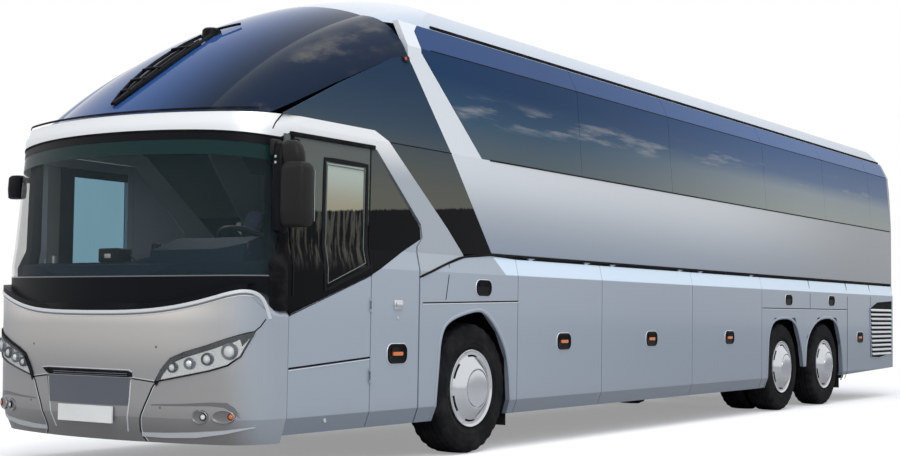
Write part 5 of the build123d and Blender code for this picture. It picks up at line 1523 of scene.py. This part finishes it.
# %% Small fittings
block("door_handle_base", "driver_door", chrome, (1.268, at(-1.105), 1.118), (1.284, at(-1.005), 1.190),
    0.007, 3)
block("door_handle_grip", "driver_door", chrome, (1.282, at(-1.090), 1.140), (1.298, at(-1.020), 1.172),
    0.006, 3)
facing("door_lock", "driver_door", steel, side_point(-1.057, 1.060), Vector((1, 0, 0)),
    ((-0.002, 0.014), (0.004, 0.013), (0.006, 0.009), (0.004, 0.004), (0.004, 0.0001)), 20)
facing("flap_lock", "coach", steel, side_point(-1.860, 0.362), Vector((1, 0, 0)),
    ((-0.002, 0.017), (0.005, 0.016), (0.008, 0.010), (0.006, 0.005), (0.006, 0.0001)), 20)
for side, label in SIDES:
    spot = rounded(-0.945, -0.865, 2.965, 3.010, 0.020, 4)
    flank_patch(f"marker_{label}", spot, trim_black, side, 0.014, slot="dark_glass", edge=0.004)
    flank_patch(f"marker_lens_{label}", rounded(-0.935, -0.905, 2.975, 3.000, 0.010, 3), red_lens, side,
        0.018, edge=0.003)
print("fittings ready")

# %% [markdown]
# ## Seats
# Coach seats are upholstered pads on a moulded shell. A pad is never a block: it is crowned in
# the middle, its sides pull in between the corners, and sewn channels cross it. We start from
# a finely divided cube, push its points out to a rounded box, then crown it and press the
# channels in. There are dozens of pads, so moving points in code is used instead of a cloth run.

# %% Pad shape
PAD_CUTS = 9


def pad_points(size, crown, channels=(), pull=0.04, power=5.0):
    """Points and faces of a crowned pad about its own middle; the third axis is its thickness."""
    work = bmesh.new()
    bmesh.ops.create_cube(work, size=2.0)
    bmesh.ops.subdivide_edges(work, edges=work.edges[:], cuts=PAD_CUTS, use_grid_fill=True)
    for v in work.verts:
        a, b, c = v.co
        reach = max(abs(a), abs(b), abs(c))
        scale = reach / (abs(a) ** power + abs(b) ** power + abs(c) ** power) ** (1.0 / power)
        a, b, c = a * scale, b * scale, c * scale
        swell = (1.0 - a * a) * (1.0 - b * b)
        groove = sum(math.exp(-((b - spot) / 0.07) ** 2) for spot in channels) * (1.0 - abs(a) ** 6)
        x = a * (1.0 - pull * (1.0 - b * b))
        y = b * (1.0 - pull * (1.0 - a * a))
        depth = c * (1.0 - crown * 0.5) + (crown * swell - 0.16 * groove) * (1.0 if c > 0 else -0.3 if c < 0
            else 0.0) * min(abs(c) * 3.0, 1.0)
        v.co = Vector((x * size[0] / 2, y * size[1] / 2, depth * size[2] / 2))
    points = [v.co.copy() for v in work.verts]
    faces = [tuple(v.index for v in f.verts) for f in work.faces]
    work.free()
    return points, faces


CUSHION = pad_points((1.0, 1.0, 1.0), 0.30, (-0.35, 0.35))
BACKREST = pad_points((1.0, 1.0, 1.0), 0.26, (-0.62, -0.2, 0.22))
HEADREST = pad_points((1.0, 1.0, 1.0), 0.30, (0.0,), 0.08, 3.4)


def placed(shape, middle, size, lean):
    """A pad shape scaled, leaned back about the X axis and moved to its place."""
    turn = Matrix.Rotation(lean, 3, "X")
    points = [Vector(middle) + turn @ Vector((p.x * size[0], p.y * size[1], p.z * size[2])) for p in shape[0]]
    return points, shape[1]


def pad_piece(name, parts, material):
    """Several pads as one soft piece."""
    points, faces = joined(parts)
    piece = add_piece(name, "coach", material, points, faces, "seat_cloth", 60.0)
    return piece


print("pad points", len(CUSHION[0]))

# %% [markdown]
# ## Rows of seats
# The driver sits alone, a guide's pair of seats stands beside the stairs, and twelve rows fill
# the raised deck. Every block of seats has cushions, backrests with headrests, a moulded shell
# behind and a plinth below, so one list of blocks is enough to place them all.

# %% Rows of seats
SEAT_ROWS, ROW_PITCH = 12, 0.80
SEAM_B, DECK_Z, CAB_FLOOR_Z = -1.375, 1.42, 0.80
SEAT_BLOCKS = [(0.330, 0.860, SEAM_B - 0.260, CAB_FLOOR_Z, 1.920, 1),
    (-0.380, 0.140, SEAM_B - 0.200, CAB_FLOOR_Z, 1.900, 2)]
STAIR = (DRIVE_AXLE - 0.725 - 0.925 - 0.04, DRIVE_AXLE - 0.725 - 0.065 + 0.04)
for row in range(SEAT_ROWS):
    d = 0.40 + ROW_PITCH * row
    SEAT_BLOCKS.append((0.210, 1.080, d, DECK_Z, 2.560, 2))
    if not STAIR[0] - 0.760 < d < STAIR[1]:
        SEAT_BLOCKS.append((-1.080, -0.210, d, DECK_Z, 2.560, 2))
for n, (x0, x1, d, ground, top, places) in enumerate(SEAT_BLOCKS):
    width = (x1 - x0) / places
    middles = [x0 + width * (k + 0.5) for k in range(places)]
    seat_y, back_low, back_high = at(d + 0.235), ground + 0.44, top - 0.20
    lean = math.atan2(0.24, back_high - back_low)
    tall = math.hypot(0.24, back_high - back_low)
    back_y = at(d + 0.455 + 0.12)
    pads = [placed(CUSHION, (x, seat_y, ground + 0.405), (width * 0.97, 0.46, 0.15), 0.03) for x in middles]
    cushions = pad_piece(f"cushion_{n + 1}", pads, cloth)
    backs = [placed(BACKREST, (x, back_y, (back_low + back_high) / 2), (width * 0.94, tall, 0.12),
        math.pi / 2 - lean) for x in middles]
    rests = [placed(HEADREST, (x, at(d + 0.655), top - 0.095), (width * 0.70, 0.20, 0.10), math.pi / 2 - lean)
        for x in middles]
    pad_piece(f"backrest_{n + 1}", backs + rests, cloth)
    if n == 0:
        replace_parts(cushions, "seats")
    shell = [Vector((x, at(y), z)) for x in (x0 + 0.02, x1 - 0.02) for y, z in ((d + 0.49, ground + 0.36),
        (d + 0.515, ground + 0.36), (d + 0.70, top - 0.24), (d + 0.705, top - 0.10), (d + 0.690, top - 0.09),
        (d + 0.67, top - 0.24))]
    ends = [tuple(range(6)), tuple(range(11, 5, -1))] + [(k, (k + 1) % 6, (k + 1) % 6 + 6, k + 6)
        for k in range(6)]
    add_piece(f"seat_shell_{n + 1}", "coach", trim_black, shell, ends)
    block(f"seat_plinth_{n + 1}", "coach", trim_black, (x0 + 0.05, at(d + 0.09), ground),
        (x1 - 0.05, at(d + 0.47), ground + 0.335), 0.02, 2)
print("seat blocks", len(SEAT_BLOCKS))

# %% [markdown]
# ## Dashboard and wheel details
# On the dash stand a raised instrument hood, vents along the windscreen, a small screen and a
# ticket box. The steering wheel of the frame keeps its place and gets a padded rim.

# %% Dash details
mound = []
for i in range(13):
    x = -0.12 + 1.14 * i / 12
    swell = math.exp(-((x - 0.60) / 0.42) ** 2)
    mound.append([Vector((x, at(d), 1.385 + (0.045 + 0.150 * swell) * rise)) for d, rise in ((-2.52, 0.0),
        (-2.515, 0.45), (-2.47, 0.80), (-2.38, 0.97), (-2.30, 1.0), (-2.24, 0.96), (-2.21, 0.70),
        (-2.20, 0.0))])
skin("dash_mound", "coach", dash_plastic, mound, 0.004, smooth=60.0)
block("dash_screen", "coach", trim_black, (0.30, at(-2.30), 1.44), (0.33, at(-2.06), 1.60), 0.008, 2)
block("ticket_box", "coach", trim_black, (-0.32, at(-2.48), 1.43), (-0.12, at(-2.34), 1.53), 0.012, 2)
block("ticket_window", "coach", plate_white, (-0.25, at(-2.484), 1.46), (-0.19, at(-2.478), 1.49), 0.001, 1)
block("hand_unit", "coach", trim_black, (0.16, at(-2.44), 1.42), (0.21, at(-2.38), 1.56), 0.012, 3)
for n, (d0, d1, z0, z1, finish) in enumerate(((-2.190, -2.070, 1.430, 2.200, trim_grey),
        (-2.070, -1.930, 1.430, 2.200, seal_rubber), (-1.930, -1.380, 2.125, 2.200, seal_rubber))):
    block(f"door_lining_{n + 1}", "door_front", finish, (-1.219, at(d0), z0), (-1.205, at(d1), z1), 0.005, 2,
        "black_plastic")
block("dash_shelf", "coach", dash_plastic, (-0.98, at(-2.52), 1.385), (0.30, at(-2.26), 1.425), 0.018, 3)
for n in range(9):
    block(f"dash_vent_{n + 1}", "coach", trim_black, (-0.92 + n * 0.13, at(-2.505), 1.424),
        (-0.82 + n * 0.13, at(-2.470), 1.429), 0.002, 1)
tube("dash_cord_clip", "coach", trim_black,
    [(-0.20, at(-2.40), 1.53), (-0.12, at(-2.38), 1.50), (-0.06, at(-2.36), 1.44)], 0.005)
rim_turn = Matrix.Rotation(math.radians(-28.0), 3, "X")
rim_path = [Vector((0.680, at(-2.010), 1.560))
    + rim_turn @ Vector((0.217 * math.cos(a), 0.217 * math.sin(a), 0.004))
    for a in [2 * math.pi * k / 48 for k in range(48)]]
ring = [(0.019 * math.cos(2 * math.pi * k / 10), 0.019 * math.sin(2 * math.pi * k / 10)) for k in range(10)]
sweep("steering_rim", "coach", trim_black, rim_path, ring, lambda p: rim_turn @ Vector((0, 0, 1)), True)
for side in (1, -1):
    sweep(f"belt_{'left' if side > 0 else 'right'}", "coach", trim_grey,
        [Vector((-0.12 + side * 0.205, at(-1.02), 1.80)), Vector((-0.12 + side * 0.15, at(-1.06), 1.60)),
        Vector((-0.12 + side * 0.12, at(-1.13), 1.35))], strip(0.045, 0.004), lambda p: Vector((0, -1, 0.3)),
        False)
print("dash pieces ready")

# %% [markdown]
# ## Tail
# The rear face is seen only from behind, but it is finished like the rest: upright lamp columns
# with red, amber and clear sections, louvres and folds in the engine lid, a bumper step and a
# number plate recess lamp.

# %% Rear face
REAR_PROFILE = ((0.400, -0.200), (1.150, -0.020), (1.700, 0.0), (2.400, -0.020), (3.050, -0.110))


def rear_point(x, z, lift=0.0):
    """Point on the rear face, which turns round at its sides with a radius."""
    back, = between(REAR_PROFILE, max(0.40, min(3.05, z)))
    inset, = between(SIDE_SECTION, z)
    corner = 0.260
    across = max(0.0, abs(x) - (HALF_WIDTH - inset - corner))
    drop = corner - math.sqrt(max(corner * corner - across * across, 0.0))
    return Vector((x, at(REAR + back - drop) + lift, z))


def backward(point):
    """Direction out of the rear face."""
    return Vector((point.x * 0.25 if abs(point.x) > 1.0 else 0.0, 1.0, 0.0))


def rear_patch(name, x0, x1, z0, z1, material, lift, depth, body="coach", slot=None):
    """A rectangular skin laid on the rear face."""
    steps = 5
    rows = [[rear_point(x0 + (x1 - x0) * i / steps, z1 + (z0 - z1) * j / steps, lift)
        for i in range(steps + 1)] for j in range(steps + 1)]
    return skin(name, body, material, turned_over(rows, x1 < x0), depth, slot)


def rear_line(name, corners, width, height, material, body="coach"):
    """A thin bead laid along corners on the rear face."""
    path = [rear_point(x, z) for x, z in line_points(list(corners), 0.06)]
    return sweep(name, body, material, path, strip(width, height), backward)


for side, label in SIDES:
    for n, (z0, z1, glass) in enumerate(((1.630, 1.770, red_lens), (1.776, 1.880, orange_lens),
            (1.886, 1.970, white_lens), (1.976, 2.190, red_lens))):
        rear_patch(f"tail_lamp_{label}_{n + 1}", side * 1.016, side * 1.144, z0, z1, glass, 0.010, 0.008,
            slot="dark_glass")
    edge = ((side * 1.008, 1.618), (side * 1.008, 2.202), (side * 1.152, 2.202), (side * 1.152, 1.618),
        (side * 1.008, 1.618))
    rear_line(f"tail_lamp_rim_{label}", edge, 0.010, 0.008, seal_rubber)
    rear_patch(f"rear_reflector_{label}", side * 0.78, side * 0.92, 0.455, 0.500, red_lens, 0.010, 0.008)
    rear_patch(f"rear_marker_{label}", side * 0.96, side * 1.04, 3.14, 3.18, red_lens, 0.012, 0.010)
for n in range(9):
    z = 0.86 + n * 0.058
    rows = []
    for drop, lift in ((0.0, 0.001), (0.018, 0.012), (0.034, 0.018), (0.042, 0.012)):
        rows.append([rear_point(-0.70 + 1.40 * i / 12, z - drop, lift) for i in range(13)])
    skin(f"lid_louvre_{n + 1}", "engine_lid", paint, rows, 0.003)
rear_line("lid_fold_low", ((-0.90, 0.74), (0.90, 0.74)), 0.016, 0.006, paint, "engine_lid")
rear_line("lid_fold_high", ((-0.90, 1.43), (0.90, 1.43)), 0.016, 0.006, paint, "engine_lid")
rear_patch("lid_handle", -0.09, 0.09, 0.655, 0.700, black_plastic, 0.016, 0.014, "engine_lid")
# Painted highlight: the bumper step in the lighter silver.
rear_line("bumper_step", ((-1.10, 0.520), (1.10, 0.520)), 0.030, 0.012, highlight_paint)
frame_rim = ((-0.985, 2.435), (-0.985, 3.045), (0.985, 3.045), (0.985, 2.435), (-0.985, 2.435))
rear_line("rear_window_rim", frame_rim, 0.020, 0.006, seal_rubber)
block("plate_lamp", "coach", black_plastic, (-0.07, at(REAR) - 0.004, 1.715), (0.07, at(REAR) + 0.026, 1.742),
    0.006, 2)
print("tail pieces", made(("tail_", "lid_", "rear_")))

# %% [markdown]
# ## Roof
# The roof carries two escape hatches and a low air-conditioning cover, all with rounded lids.

# %% Roof hatches and cooler cover


def roof_lid(name, d0, d1, half, rise, material):
    """A lid that follows the roof's crown, with a soft edge."""
    verts, steps = [], 14
    for j in range(steps + 1):
        for i in range(steps + 1):
            u, v = 2 * i / steps - 1, 2 * j / steps - 1
            x, d = half * u, (d0 + d1) / 2 + (d1 - d0) / 2 * v
            lift = rise * (1 - abs(u) ** 8) * (1 - abs(v) ** 8)
            verts.append(Vector((x, at(d), ROOF_HEIGHT - ROOF_FALL * x * x + lift - 0.004)))
    return add_piece(name, "coach", material, verts, grid_faces(steps + 1, steps + 1), smooth=30.0)


ROOF_HEIGHT = above("roof_shell", 0.0, 5.0)
ROOF_FALL = (ROOF_HEIGHT - above("roof_shell", 0.6, 5.0)) / 0.36
roof_lid("hatch_front", 2.20, 2.95, 0.36, 0.022, trim_black)
roof_lid("hatch_rear", 8.60, 9.35, 0.36, 0.022, trim_black)
# The cover takes the roof's silver with its painted shade and highlight.
roof_lid("cooler_cover", 4.40, 6.90, 0.62, 0.024, roof_paint)
for n in range(4):
    roof_lid(f"cooler_vent_{n + 1}", 4.62 + 0.56 * n, 5.00 + 0.56 * n, 0.26, 0.027, trim_black)
print("roof height", round(ROOF_HEIGHT, 3), "fall", round(ROOF_FALL, 3))

# %% [markdown]
# ## Passenger doors
# Both doors on the right swing out on arms. Each gets the rubber round its pane, a vertical
# finger seal at its closing edge, a push-button lock and a fold along the shoulder.

# %% Right-hand doors
for name, body, d0, d1, high in (("front", "door_front", -2.257, -1.318, 2.250),
        ("middle", "door_middle", 5.065, 5.915, 2.240)):
    pane = rounded(d0 + 0.045, d1 - 0.045, 1.385, 2.205, 0.030, 3)
    flank_line(f"door_pane_rim_{name}", pane, 0.018, 0.005, seal_rubber, -1, body, closed=True)
    flank_line(f"door_edge_seal_{name}", ((d1 - 0.012, 0.300), (d1 - 0.012, high)), 0.014, 0.004, seal_rubber,
        -1, body)
    # Painted highlight: the fold in the lighter silver.
    flank_line(f"door_fold_{name}", ((d0 + 0.03, 0.760), (d1 - 0.03, 0.760)), 0.014, 0.004, highlight_paint, -1,
        body)
    lock = side_point(d1 - 0.16, 1.18, 0.0, -1)
    facing(f"door_button_{name}", body, steel, lock, Vector((-1, 0, 0)),
        ((-0.002, 0.020), (0.005, 0.018), (0.007, 0.012), (0.004, 0.010), (0.005, 0.0001)), 20)
print("doors dressed")
